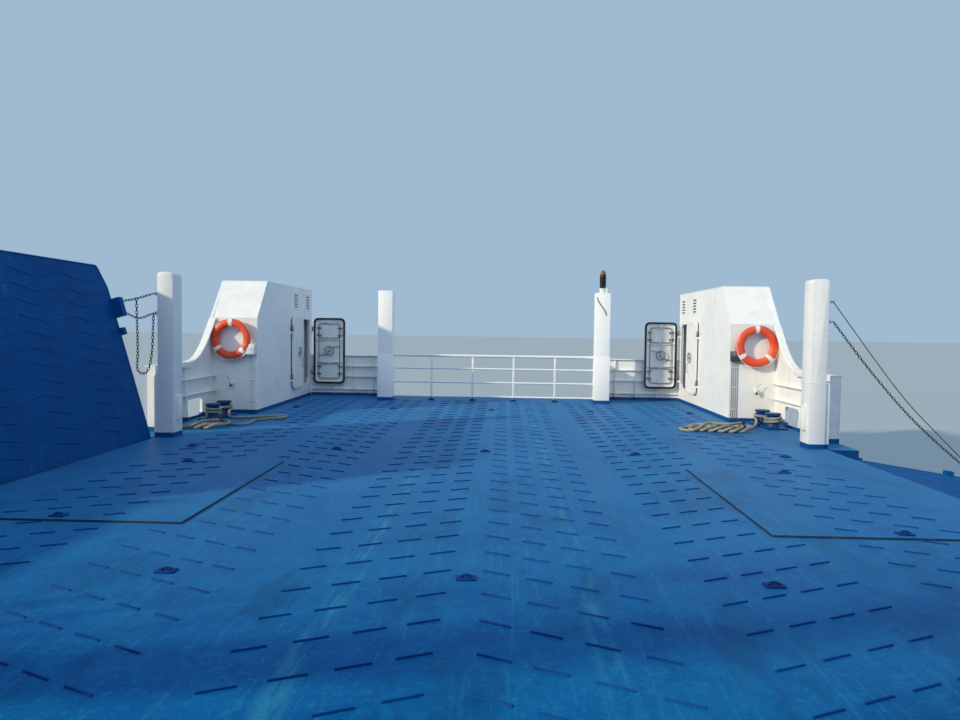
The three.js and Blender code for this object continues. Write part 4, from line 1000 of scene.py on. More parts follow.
def grip_bar(long, wide, high):
    """A weld-on bar with sloped sides."""
    shape = block((-long / 2, -wide / 2, -0.002), (long / 2, wide / 2, high))
    crown = [vert for vert in shape.verts if vert.co.z > 0]
    bmesh.ops.scale(shape, vec=(1 - wide * 0.5 / long, 0.55, 1), verts=crown)
    return shape


def bar_allowed(x, y):
    """Nothing stands on the deck here."""
    return not any(x0 < x < x1 and y0 < y < y1 for x0, x1, y0, y1 in TAKEN)


class FERRY_OT_grip_bars(bpy.types.Operator):
    """Lays the grip bars of the vehicle deck in their zigzag rows"""
    bl_idname = "ferry.grip_bars"
    bl_label = "Deck Grip Bars"

    def execute(self, context):
        s = sizes()
        halves = {"fore": Piece("grip_bars_open_deck"), "aft": Piece("grip_bars_under_saloon")}
        spots = {"fore": [], "aft": []}
        first = math.ceil((BAR_ROW - 18.4) / s.bar_pitch)
        last = math.floor((BAR_ROW + 18.2) / s.bar_pitch)
        for row in range(first, last + 1):
            for inner, outer, pivot, shift, lean in BAR_LANES:
                middle = (inner + outer) / 2
                y = BAR_ROW - row * s.bar_pitch + shift + lean * (middle - pivot)
                for side in SIDES.values():
                    x = side * middle
                    if not -18.3 < y < 18.55 or not bar_allowed(x, y):
                        continue
                    seam = abs(abs(x) - HATCH[0]) < 0.11 and HATCH[2] - 0.06 < y < HATCH[3] + 0.06
                    edge = abs(x) > HATCH[0] and min(abs(y - HATCH[2]), abs(y - HATCH[3])) < 0.07
                    if seam or edge:
                        continue
                    on_hatch = HATCH[0] < abs(x) < HATCH[1] and HATCH[2] < y < HATCH[3]
                    z = DECK + (HATCH_RISE if on_hatch else 0)
                    turn = Matrix.Rotation(side * math.atan(lean), 4, "Z")
                    stretch = Matrix.Diagonal(((outer - inner) * 1.08 / s.bar_length, 1, 1, 1))
                    half = "fore" if y > 0.6 else "aft"
                    spots[half].append(Matrix.Translation((x, y, z)) @ turn @ stretch)
        for half, piece in halves.items():
            piece.add(grip_bar(s.bar_length, s.bar_width, s.bar_height), bar_paint(), spots[half])
            piece.done("hull_paint")
        return {"FINISHED"}


class FERRY_OT_deck_fittings(bpy.types.Operator):
    """Adds tie-down lugs, lifting lugs, and black strips of painted shade in the hatch seams to the vehicle deck"""
    bl_idname = "ferry.deck_fittings"
    bl_label = "Deck Fittings"

    def execute(self, context):
        lugs = Piece("tie_down_lugs")
        pad = block((-0.065, -0.045, -0.002), (0.065, 0.045, 0.012), 0.004)
        bow = hoop(0.036, 0.011, at(0, 0, 0.006, turn=90, axis="X") @ Matrix.Diagonal((1, 0.62, 1, 1)),
                   8, 6, math.pi)
        spots = [
            at(side * x, y, DECK) for y in LUG_ROWS for x in LUG_LANES
            for side in ((1, -1) if x else (1,)) if not (abs(x) > 3.6 and y < 0.7)
        ]
        spots += [at(side * 3.48, y, DECK + HATCH_RISE) for side in (1, -1) for y in (7.66, 10.15)]
        lugs.add(pad, lug_paint(), spots)
        lugs.add(bow, lug_paint(), spots)
        lugs.done("hull_paint")
        # Black strips in the seams round the raised hatch: painted shade of the gaps
        edges = Piece("hatch_edges", places=BOTH)
        x0, x1, y0, y1 = HATCH
        top = DECK + HATCH_RISE
        for low, high in (
            ((x0 - 0.009, y0 - 0.009, DECK - 0.004), (x0 - 0.001, y1 + 0.009, top - 0.006)),
            ((x0 - 0.009, y0 - 0.01, DECK - 0.004), (x1, y0 - 0.001, top - 0.006)),
            ((x0 - 0.009, y1 + 0.001, DECK - 0.004), (x1, y1 + 0.008, top - 0.006)),
        ):
            edges.add(block(low, high, 0.002, 1), rubber())
        edges.done("hull_paint")
        return {"FINISHED"}


# Side ramps

# First row's distance from the hinge, distance between rows; then the bars' middle, lean and length
RAMP_ROW, RAMP_PITCH = 0.3, 0.191
RAMP_BARS = [(10.09, -0.19, 0.46), (10.6, 0.19, 0.44)]


def ramp_place(side_name):
    turn = Matrix.Rotation(-math.radians(RAMP_ANGLES[side_name]), 4, "Y")
    place = Matrix.Translation((RAMP_X, 0, RAMP_Z)) @ turn
    return place if SIDES[side_name] > 0 else FLIP @ place


class FERRY_OT_ramps(bpy.types.Operator):
    """Adds the grip bars and frames of the two side ramps"""
    bl_idname = "ferry.ramps"
    bl_label = "Side Ramps"

    def execute(self, context):
        high = sizes().bar_height
        for side_name in SIDES:
            place = ramp_place(side_name)
            bars = Piece(f"ramp_bars_{side_name}", f"{side_name}_ramp")
            for shift, lean, long in RAMP_BARS:
                spots = []
                for column in range(-3, 3):
                    y = shift + 1.02 * column
                    if not RAMP_Y[0] + 0.3 < y < RAMP_Y[1] - 0.25:
                        continue
                    spots += [
                        place @ Matrix.Translation((RAMP_ROW + RAMP_PITCH * row, y, 0))
                        @ Matrix.Rotation(math.pi / 2 - math.atan(lean), 4, "Z")
                        for row in range(12)
                    ]
                bars.add(grip_bar(long, 0.02, high), ramp_bar_paint(), spots)
            bars.done("dark_blue_paint")
            frame_piece = Piece(f"ramp_frame_{side_name}", f"{side_name}_ramp")
            # Stiffeners under the plate, and an edge strip all round
            for y in (7.9, 8.7, 9.5, 10.3, 11.1):
                frame_piece.add(
                    cut_out([(0.16, -0.135), (2.5, -0.135), (2.4, -0.172), (0.3, -0.185)], "Y", y - 0.008, y + 0.008),
                    dark_blue(), [place],
                )
            rim = soft_bend([
                (0.1, RAMP_Y[1] - 0.006, 0), (2.3, RAMP_Y[1] - 0.006, 0),
                (2.612, RAMP_Y[1] - 0.135, 0), (2.612, RAMP_Y[0] + 0.135, 0),
                (2.3, RAMP_Y[0] + 0.006, 0), (0.1, RAMP_Y[0] + 0.006, 0),
            ], 0.05)
            frame_piece.add(bent_pipe(rim, 0.011, 8), ramp_bar_paint(), [place])
            frame_piece.done("dark_blue_paint")
        return {"FINISHED"}


# Posts: the end post's sides in X, then in Y

END_POST = (2.26, 2.58, 17.85, 18.17)


def arch_outline(x0, x1, z0, z1, radius, steps=6):
    """An upright plate's outline with both upper corners round."""
    points = [(x1, z0)]
    for cx, start in ((x1 - radius, 0), (x0 + radius, 90)):
        for step in range(steps + 1):
            angle = math.radians(start + 90 * step / steps)
            points.append((cx + radius * math.cos(angle), z1 - radius + radius * math.sin(angle)))
    points.append((x0, z0))
    return points


def belt(x0, x1, y0, y1, z, radius):
    """A bead round a post."""
    return bent_pipe([(x0, y0, z), (x1, y0, z), (x1, y1, z), (x0, y1, z)], radius, 8, closed=True)


class FERRY_OT_posts(bpy.types.Operator):
    """Builds the ramp posts, the end posts and the beacon"""
    bl_idname = "ferry.posts"
    bl_label = "Posts and Beacon"

    def execute(self, context):
        foot = 0.0005
        posts = Piece("ramp_posts", lift=DECK, places=BOTH)
        posts.add(cut_out(arch_outline(4.515, 4.745, foot, 2.38, 0.055), "Y", 12, 12.29, 0.007), white_paint())
        # The foot is widened outboard, with a sloping shoulder
        posts.add(cut_out([
            (4.73, foot), (4.81, foot), (4.81, 0.88), (4.73, 0.98),
        ], "Y", 12.025, 12.265, 0.006), white_paint())
        posts.add(block((4.47, 12.09, 0.25), (4.52, 12.2, 0.6), 0.008), white_paint())
        for height in (2.07, 1.79):
            posts.add(cut_out([
                (4.74, height - 0.045), (4.8, height - 0.02), (4.8, height + 0.02), (4.74, height + 0.045),
            ], "Y", 12.03, 12.05, 0.003), white_paint())
        for height in (0.93, 1.62):
            posts.add(belt(4.513, 4.747, 11.998, 12.292, height, 0.0035), white_paint())
        # A weld bead at the foot, and the bolts of the small cover
        posts.add(belt(4.513, 4.812, 11.998, 12.292, foot + 0.004, 0.005), white_paint())
        for y in (12.105, 12.185):
            for z in (0.27, 0.58):
                posts.add(round_bar((4.464, y, z), (4.473, y, z), 0.007, 6), galvanised())
        posts.done("white_paint", on_both("ramp_post"))
        ends = Piece("end_posts", lift=DECK, places=BOTH)
        x0, x1, y0, y1 = END_POST
        for reach, top, round_by in ((0, 2.45, 0.008), (0.008, 1.035, 0.006), (0.016, 0.045, 0.004)):
            wrap = block((x0 - reach, y0 - reach, foot), (x1 + reach, y1 + reach, top), round_by)
            ends.add(wrap, brightened_post_paint())
        for height, reach in ((1.036, 0.005), (1.57, 0.002)):
            ends.add(belt(x0 - reach, x1 + reach, y0 - reach, y1 + reach, height, 0.004), brightened_post_paint())
        # A cable comes out under the head and hangs across the face
        ends.add(bent_pipe(soft_bend([
            (2.275, 17.846, 2.36), (2.31, 17.836, 2.25), (2.45, 17.832, 2.07), (2.49, 17.842, 1.95),
        ], 0.05), 0.007, 8), rubber(), ONCE)
        for height in (0.35, 1.25, 2.05):
            ends.add(block((2.33, 18.168, height), (2.37, 18.2, height + 0.012), 0.002), brightened_post_paint())
        ends.done("white_paint", on_both("end_post"))
        lamp = Piece("beacon_lantern", lift=DECK)
        base = at(2.42, 18.01, 2.4505)
        lamp.add(turned([
            (0, 0), (0.085, 0), (0.085, 0.012), (0.07, 0.016), (0.07, 0.085), (0.078, 0.09), (0.078, 0.11),
            (0, 0.11),
        ], base, 28), white_plastic())
        lamp.add(block((2.475, 17.95, 2.455), (2.525, 18.03, 2.56), 0.008), white_plastic())
        ribs = [(0, 0.108), (0.062, 0.108), (0.066, 0.15)]
        for rib in range(7):
            z = 0.155 + 0.034 * rib
            ribs += [(0.066, z), (0.074, z + 0.006), (0.074, z + 0.018), (0.066, z + 0.024)]
        ribs += [(0.064, 0.405), (0, 0.405)]
        lamp.add(turned(ribs, base, 28), lamp_black())
        lamp.add(turned([
            (0, 0.404), (0.07, 0.404), (0.074, 0.412), (0.074, 0.424), (0.058, 0.43), (0.054, 0.462), (0.036, 0.492),
            (0, 0.506),
        ], base, 28), amber_lens())
        lamp.add(turned([(0, 0.5), (0.016, 0.498), (0.014, 0.512), (0, 0.514)], base, 12), lamp_black())
        lamp.done("lamp", ["beacon"])
        return {"FINISHED"}


# Side plating and its stiffening: where the bulwark ends, and how its cap rises behind that, [y, height]

BULWARK_END = 12.56
WING = [
    (BULWARK_END, 0.99), (13.85, 0.99), (14.1, 1.02), (14.3, 1.1), (14.5, 1.24), (14.66, 1.39), (14.85, 1.6),
    (14.985, 1.752),
]


class FERRY_OT_plating(bpy.types.Operator):
    """Rounds the caps of the bulwarks and adds their frames, rims and pipes"""
    bl_idname = "ferry.plating"
    bl_label = "Bulwark Trim"

    def execute(self, context):
        trim = Piece("bulwark_trim", lift=DECK, places=BOTH)
        paint = white_paint()
        for x in (5.1, 5.21):
            trim.add(bent_pipe(flowing([Vector((x, y, h)) for y, h in WING], 0.05), 0.012, 10), paint)
        # Folded lip under the cap, and a round rim in the freeing port
        trim.add(block((5.092, BULWARK_END, 0.905), (5.104, 14, 0.985), 0.003), paint)
        rim = [Vector((5.155, a, b)) for a, b in rounded_outline(13.885, 14.505, 0.03, 0.355, 0.085)]
        trim.add(bent_pipe(rim, 0.013, 8, closed=True), paint)
        for y in (13.13, 13.73):
            trim.add(bent_pipe([(5.07, y, 0.01), (5.128, y, 0.97)], 0.008, 8), paint)
        # Rounded edges of the end plate, and of the stringers
        trim.add(bent_pipe([
            (5.052, BULWARK_END, 0.02), (5.052, BULWARK_END, 1),
            (5.195, BULWARK_END, 1), (5.195, BULWARK_END, 0.02),
        ], 0.007, 8), paint)
        for height in (0.43, 0.7):
            trim.add(bent_pipe([(5.1, BULWARK_END, height), (5.1, 14.98, height)], 0.009, 8), paint)
        # End bulwarks: upright ribs and a round cap
        trim.add(bent_pipe([(2.4, 18.765, 0.95), (4.32, 18.765, 0.95)], 0.014, 10), paint)
        for x in (2.85, 3.32, 3.8):
            trim.add(cut_out([(18.8, 0.94), (18.76, 0.94), (18.72, 0.02), (18.8, 0.02)],
                             "X", x - 0.005, x + 0.005), paint)
        # Bulwark ahead of the casings
        for y in (1.6, 2.9, 4.2, 5.5, 6.7):
            trim.add(cut_out([(5.08, 0.985), (5.158, 0.985), (5.158, 0.004), (5.03, 0.004)],
                             "Y", y - 0.006, y + 0.006), paint)
        for x in (5.1, 5.21):
            trim.add(bent_pipe([(x, 0.62, 0.995), (x, 7.03, 0.995)], 0.013, 10), paint)
        # Stern bulwark
        for x in [-4.2 + 0.84 * index for index in range(11)]:
            trim.add(cut_out([(-18.78, 0.94), (-18.72, 0.94), (-18.66, 0.004), (-18.78, 0.004)],
                             "X", x - 0.006, x + 0.006), paint, ONCE)
        trim.add(bent_pipe([(-4.7, -18.75, 0.955), (4.7, -18.75, 0.955)], 0.014, 10), paint, ONCE)
        trim.done("white_paint")
        return {"FINISHED"}


# Doors

DOOR_X = 4.285
LEAF_LOW, LEAF_HIGH = 0.285, 1.835
OPEN_AXIS, SHUT_AXIS = 18.69, 17.095


def ring_plate(outer, inner, low, high, round_by=0):
    """A flat ring between two outlines of as many points, [y, z], between two planes of X."""
    shape = bmesh.new()
    loops = []
    for x, outline in ((low, outer), (high, outer), (high, inner), (low, inner)):
        loops.append([shape.verts.new((x, a, b)) for a, b in outline])
    for first, second in zip(loops, loops[1:] + loops[:1]):
        for index in range(len(outer)):
            after = (index + 1) % len(outer)
            shape.faces.new((first[index], first[after], second[after], second[index]))
    soften(shape, (edge for edge in shape.edges if edge.calc_face_angle(0) > 1.2), round_by)
    return shape


def leaf(name, body, axis_y, reach, place, replaced):
    """A weathertight leaf. reach is +1 or -1 along Y from the hinge, seen shut against the starboard wall."""
    def u(distance):
        return axis_y + reach * distance

    def inset(by, radius):
        return rounded_outline(y0 + by, y1 - by, LEAF_LOW + by, LEAF_HIGH - by, radius)

    made = Piece(name, body, DECK, [place @ at(DOOR_X, 0, 0)])
    paint, steel = door_paint(), galvanised()
    y0, y1 = sorted((u(0.035), u(0.785)))
    middle, wheel_y = (LEAF_LOW + LEAF_HIGH) / 2, u(0.41)
    made.add(ring_plate(inset(0, 0.108), inset(0.062, 0.05), -0.022, 0.02, 0.006), paint)
    made.add(cut_out(inset(0.055, 0.055), "X", -0.016, -0.004), paint)
    # Black sealing strip round the rim
    made.add(ring_plate(inset(0.003, 0.105), inset(0.048, 0.072), 0.016, 0.028, 0.005), rubber())
    # Two stiffeners across
    for part in (1 / 3, 2 / 3):
        z = LEAF_LOW + 1.55 * part
        made.add(block((-0.008, y0 + 0.05, z - 0.01), (0.022, y1 - 0.05, z + 0.01), 0.004), paint)
    # Linked rods frame the upper and the lower panel, with a dog at each corner
    for low, high in ((LEAF_LOW + 0.13, middle - 0.3), (middle + 0.3, LEAF_HIGH - 0.13)):
        rods = rounded_outline(*sorted((u(0.165), u(0.655))), low, high, 0.07)
        made.add(bent_pipe([(0.02, a, b) for a, b in rods], 0.01, 8, closed=True), steel)
        for z in (low, high):
            made.add(block((0, u(0.375), z - 0.028), (0.026, u(0.445), z + 0.028), 0.006), paint)
    for rod in (0.655, 0.165):
        made.add(bent_pipe([(0.02, u(rod), LEAF_LOW + 0.42), (0.02, u(rod), LEAF_HIGH - 0.42)], 0.008, 8), steel)
        for z in (LEAF_LOW + 0.24, middle - 0.37, middle + 0.37, LEAF_HIGH - 0.24):
            made.add(block((0.004, u(rod - 0.045), z - 0.018), (0.024, u(rod + 0.06), z + 0.018), 0.005), steel)
            made.add(round_bar((-0.004, u(rod), z), (0.033, u(rod), z), 0.017, 12, round_by=0.003), steel)
    # Hand wheels on both faces, with links to the rods
    for near, far in ((0, 0.058), (-0.012, -0.062)):
        made.add(round_bar((near, wheel_y, middle), (far, wheel_y, middle), 0.017, 14), steel)
        made.add(hoop(0.105, 0.009, at(far * 0.9, wheel_y, middle, turn=90, axis="Y"), 28, 8), steel)
        for spoke in (90, 210, 330):
            across, up = 0.105 * math.cos(math.radians(spoke)), 0.105 * math.sin(math.radians(spoke))
            made.add(round_bar(
                (far * 0.9, wheel_y, middle), (far * 0.9, wheel_y + across, middle + up), 0.006, 8,
            ), steel)
    for rod, dz in ((0.655, 0.07), (0.165, -0.07)):
        made.add(round_bar((0.022, wheel_y, middle + dz), (0.022, u(rod), middle + dz * 1.6), 0.008, 8), steel)
    # Hinge straps and barrels
    for low in (LEAF_LOW + 0.2, LEAF_HIGH - 0.32):
        made.add(round_bar((0, axis_y, low + 0.0005), (0, axis_y, low + 0.1195), 0.016, 16, round_by=0.002), steel)
        made.add(block((-0.02, u(0), low + 0.018), (-0.008, u(0.15), low + 0.102), 0.003), paint)
    # Grab handle outside
    made.add(bent_pipe(soft_bend([
        (-0.014, u(0.6), middle - 0.32), (-0.06, u(0.6), middle - 0.32), (-0.06, u(0.6), middle - 0.14),
        (-0.014, u(0.6), middle - 0.14),
    ], 0.02), 0.007, 8), steel)
    made.done("white_paint", [replaced])


class FERRY_OT_doors(bpy.types.Operator):
    """Builds the four weathertight leaves of the deckhouses"""
    bl_idname = "ferry.doors"
    bl_label = "Deckhouse Doors"

    def execute(self, context):
        for side_name, side in SIDES.items():
            mirror = MIRROR[side][0]
            swung = at(DOOR_X, OPEN_AXIS, 0, turn=-90) @ at(-DOOR_X, -OPEN_AXIS, 0)
            leaves = (("open", OPEN_AXIS, -1, mirror @ swung), ("shut", SHUT_AXIS, 1, mirror))
            for state, axis_y, reach, place in leaves:
                leaf(f"{state}_leaf_{side_name}", f"{side_name}_{state}_door", axis_y, reach, place,
                     f"door_{state}_{side_name}")
        return {"FINISHED"}


# Fittings of the deckhouses

class FERRY_OT_house_fittings(bpy.types.Operator):
    """Adds door frames, louvres, boxes, conduits and valves to the deckhouses"""
    bl_idname = "ferry.house_fittings"
    bl_label = "Deckhouse Fittings"

    def execute(self, context):
        made = Piece("deckhouse_fittings", lift=DECK)
        paint = white_paint()
        for y0, y1 in ((18, 18.6), (17.2, 17.8)):
            rim = [Vector((4.334, a, b)) for a, b in rounded_outline(y0 - 0.004, y1 + 0.004, 0.326, 1.794, 0.088)]
            made.add(bent_pipe(rim, 0.011, 8, closed=True), paint, BOTH)
        # Black strips in the slots between the louvre blades: painted shade for the dark behind them
        for y in (17.5, 18.45):
            for index in range(5):
                z = 2.065 + 0.062 * index
                made.add(block((4.3275, y - 0.115, z - 0.031), (4.3305, y + 0.115, z + 0.001)), lamp_black(), BOTH)
            for z in (2.03, 2.352):
                made.add(block((4.314, y - 0.135, z - 0.006), (4.334, y + 0.135, z + 0.006), 0.002), paint, BOTH)
        # Weld beads down the corner and along the roof
        edge = [(15.002, 0.01), (15.002, 1.77), (15.582, 2.478), (18.8, 2.478)]
        made.add(bent_pipe([(HOUSE_WALL, y, z) for y, z in edge], 0.006, 8), paint, BOTH)
        made.add(bent_pipe([(HOUSE_WALL, 15.001, 1.77), (5.155, 15.001, 1.77)], 0.004, 8), paint, BOTH)
        made.add(bent_pipe([(HOUSE_WALL, 15.582, 2.482), (5.19, 15.582, 2.482)], 0.009, 8), paint, BOTH)
        # White box to port, dark box to starboard, with thin conduits down to the deck
        made.add(block((-4.49, 14.86, 1.1), (-4.338, HOUSE_FRONT, 1.295), 0.01), white_plastic())
        made.add(block((-4.496, 14.85, 1.205), (-HOUSE_WALL, 14.862, 1.215), 0.002), white_plastic())
        made.add(block((4.33, 14.92, 1.1), (4.49, HOUSE_FRONT, 1.28), 0.01), console_skin())
        made.add(block((4.34, 14.912, 1.19), (4.48, 14.922, 1.27), 0.003), galvanised())
        made.add(turned([(0, 0), (0.01, 0), (0.014, 0.1), (0, 0.11)], at(4.42, 14.95, 1.277), 12), galvanised())
        for x in (4.366, 4.402, 4.438, 4.474):
            made.add(bent_pipe([(x, 14.993, 0.002), (x, 14.993, 1.105)], 0.0055, 10), galvanised())
        for x in (-4.455, -4.415, -4.375):
            made.add(bent_pipe([(x, 14.988, 0.002), (x, 14.988, 1.1)], 0.0065, 10), paint)
        for z in (0.22, 0.62, 0.98):
            made.add(block((4.356, 14.985, z), (4.484, HOUSE_FRONT, z + 0.01), 0.003), paint)
            made.add(block((-4.468, 14.978, z), (-4.362, HOUSE_FRONT, z + 0.014), 0.003), paint)
        for x in (4.42, -4.42):
            made.add(block((x - 0.085, 14.93, -0.002), (x + 0.085, HOUSE_FRONT, 0.03), 0.006), gloss_blue())
        # Small valve with a lever on each front
        made.add(round_bar((4.8, HOUSE_FRONT, 0.56), (4.8, 14.915, 0.56), 0.03, 16, round_by=0.004),
                 white_plastic(), BOTH)
        made.add(round_bar((4.8, 14.975, 0.56), (4.8, 14.965, 0.56), 0.046, 16), paint, BOTH)
        made.add(round_bar((4.8, 14.93, 0.56), (4.8, 14.93, 0.5), 0.018, 12), lamp_black(), BOTH)
        made.add(bent_pipe(soft_bend([
            (4.8, 14.925, 0.575), (4.815, 14.92, 0.63), (4.868, 14.92, 0.695),
        ], 0.02), 0.006, 8), galvanised(), BOTH)
        # Small lugs high on the side of the house
        for y in (16, 16.6):
            made.add(block((4.31, y - 0.03, 2.2), (4.335, y + 0.03, 2.212), 0.003), paint, BOTH)
        made.done("white_paint")
        return {"FINISHED"}


# Lifebuoys

def buoy_ring(piece, place, radii, steps, squeeze, middles, spread, places=None):
    """A ring with its reflecting bands, each of spread degrees. radii: of the ring, its body and the bands."""
    radius, thick, band_thick = radii
    round_ring, round_body, along_band = steps
    piece.add(hoop(radius, thick, place, round_ring, round_body, squeeze=squeeze), buoy_shell(), places)
    for middle in middles:
        start = place @ at(0, 0, 0, turn=middle - spread / 2)
        band = hoop(radius, band_thick, start, along_band, round_body, math.radians(spread), squeeze)
        piece.add(band, buoy_band(), places)


class FERRY_OT_lifebuoys(bpy.types.Operator):
    """Builds the two lifebuoys with bands, grab line and bracket"""
    bl_idname = "ferry.lifebuoys"
    bl_label = "Lifebuoys"

    def execute(self, context):
        x, y, z = 4.778, 14.9, DECK + 1.376
        radius = 0.304
        for side_name, side in SIDES.items():
            centre = Matrix.Translation((side * x, y, z))
            face = centre @ Matrix.Rotation(math.pi / 2, 4, "X")
            made = Piece(f"lifebuoy_ring_{side_name}")
            buoy_ring(made, face, (radius, 0.0755, 0.0775), (64, 20, 6), 0.7, (92, 214, 316), 13)
            # The grab line bows out between its four ties
            line = []
            for step in range(96):
                angle = 2 * math.pi * step / 96
                bow = abs(math.sin(2 * angle - 0.5))
                reach = radius + 0.068 + 0.01 * bow
                point = (reach * math.cos(angle), -0.02 - 0.012 * bow, reach * math.sin(angle))
                line.append(centre @ Vector(point))
            made.add(bent_pipe(line, 0.0045, 8, closed=True), buoy_band())
            low = z - radius - 0.076
            for corner, height, round_by, finish in (
                    ((x - 0.06, y - 0.045, low + 0.022), 0.006, 0.002, galvanised()),
                    ((x - 0.06, 14.992, low - 0.04), 0.13, 0.003, white_paint())):
                far_corner = (x + 0.06, HOUSE_FRONT + 0.0005, corner[2] + height)
                made.add(block(corner, far_corner, round_by), finish, MIRROR[side])
            for offset in (-0.04, 0.04):
                made.add(round_bar((x + offset, 14.994, low - 0.012), (x + offset, 14.984, low - 0.012), 0.009, 6),
                         galvanised(), MIRROR[side])
            made.done("lifebuoy", [f"lifebuoy_{side_name}"])
        return {"FINISHED"}


# Rails and bollards of the open deck

class FERRY_OT_deck_rails(bpy.types.Operator):
    """Builds the end rail and the mooring bollards"""
    bl_idname = "ferry.deck_rails"
    bl_label = "End Rail and Bollards"

    def execute(self, context):
        rail = Piece("end_guard_rail", lift=DECK)
        paint = rail_paint()
        for height, radius in ((1.01, 0.03), (0.72, 0.02), (0.41, 0.02), (0.09, 0.02)):
            rail.add(round_bar((-2.2595, END_RAIL_Y, height), (2.2595, END_RAIL_Y, height), radius, 16), paint)
            for x in (-2.252, 2.252):
                start, end = (x - 0.006, END_RAIL_Y, height), (x + 0.006, END_RAIL_Y, height)
                rail.add(round_bar(start, end, radius + 0.014, 16), paint)
        for x in (-1.39, -0.46, 0.46, 1.39):
            rail.add(block((x - 0.022, 18.046, 0.006), (x + 0.022, 18.074, 0.99), 0.004), paint)
            rail.add(cut_out([(18.07, 0.002), (18.26, 0.002), (18.085, 0.26), (18.07, 0.26)],
                             "X", x - 0.006, x + 0.006), paint)
            rail.add(cut_out([(18.05, 0.002), (17.985, 0.002), (18.05, 0.1)],
                             "X", x - 0.012, x + 0.012), gloss_blue())
            rail.add(block((x - 0.06, 17.98, 0.0005), (x + 0.06, 18.13, 0.045), 0.012), gloss_blue())
        rail.done("blue_paint", ["end_rail"])
        for side_name, side in SIDES.items():
            made = Piece(f"mooring_bollard_{side_name}", lift=DECK, places=MIRROR[side])
            made.add(block((4.645, 13.92, 0.0005), (4.985, 14.88, 0.03), 0.008), gloss_blue())
            for y in (FRONT_POST, REAR_POST):
                made.add(turned([
                    (0, 0.012), (0.122, 0.012), (0.112, 0.045), (0.0995, 0.062), (0.0995, 0.215), (0.108, 0.226),
                    (0.129, 0.232), (0.13, 0.25), (0.118, 0.264), (0, 0.266),
                ], at(POST_X, y, 0), 36), gloss_blue())
            made.done("blue_paint", [f"bollard_{side_name}"])
        return {"FINISHED"}


# Chains of the ramps

CHAIN_Y = 12.045
EYE_X = 4.8
EYE_HIGH, EYE_LOW = DECK + 2.07, DECK + 1.79


def chain_link(pitch, wire_radius, half_width):
    """An oblong link along X."""
    shape = hoop(half_width - wire_radius, wire_radius, Matrix(), 10, 6)
    reach = pitch / 2 + 2 * wire_radius - half_width
    for vert in shape.verts:
        vert.co.x += math.copysign(reach, vert.co.x)
    return shape


def chain_places(points, pitch):
    """Places of links along a path, each turned a quarter from the last."""
    path = flowing([Vector(point) for point in points], 0.02)
    whole = sum((b - a).length for a, b in zip(path, path[1:]))
    count = max(2, round(whole / pitch))
    spots = even(path, whole / count)
    places = []
    for index, (start, end) in enumerate(zip(spots, spots[1:])):
        ahead = (end - start).normalized()
        side = Vector((0, 1, 0)) if abs(ahead.y) < 0.9 else Vector((1, 0, 0))
        up = ahead.cross(side).normalized()
        side = up.cross(ahead)
        turn = Matrix((ahead, side, up)).transposed().to_4x4()
        places.append(Matrix.Translation((start + end) / 2) @ turn @ at(0, 0, 0, turn=45 + 90 * (index % 2), axis="X"))
    return places


def bow_shackle(piece, place, size, finish):
    """A bow with its pin, opening along -X from place."""
    piece.add(bent_pipe([
        Vector((-size, size * 0.55, 0)), Vector((0, size * 0.62, 0)), Vector((size * 0.55, size * 0.45, 0)),
        Vector((size * 0.8, 0, 0)), Vector((size * 0.55, -size * 0.45, 0)), Vector((0, -size * 0.62, 0)),
        Vector((-size, -size * 0.55, 0)),
    ], size * 0.22, 10), finish, [place])
    piece.add(round_bar((-size, -size * 0.85, 0), (-size, size * 0.85, 0), size * 0.24, 12, round_by=size * 0.05),
              finish, [place])


def ramp_point(side_name, along_ramp, y, height):
    angle = math.radians(RAMP_ANGLES[side_name])
    return Vector((
        RAMP_X + along_ramp * math.cos(angle) - height * math.sin(angle), y,
        RAMP_Z + along_ramp * math.sin(angle) + height * math.cos(angle),
    ))


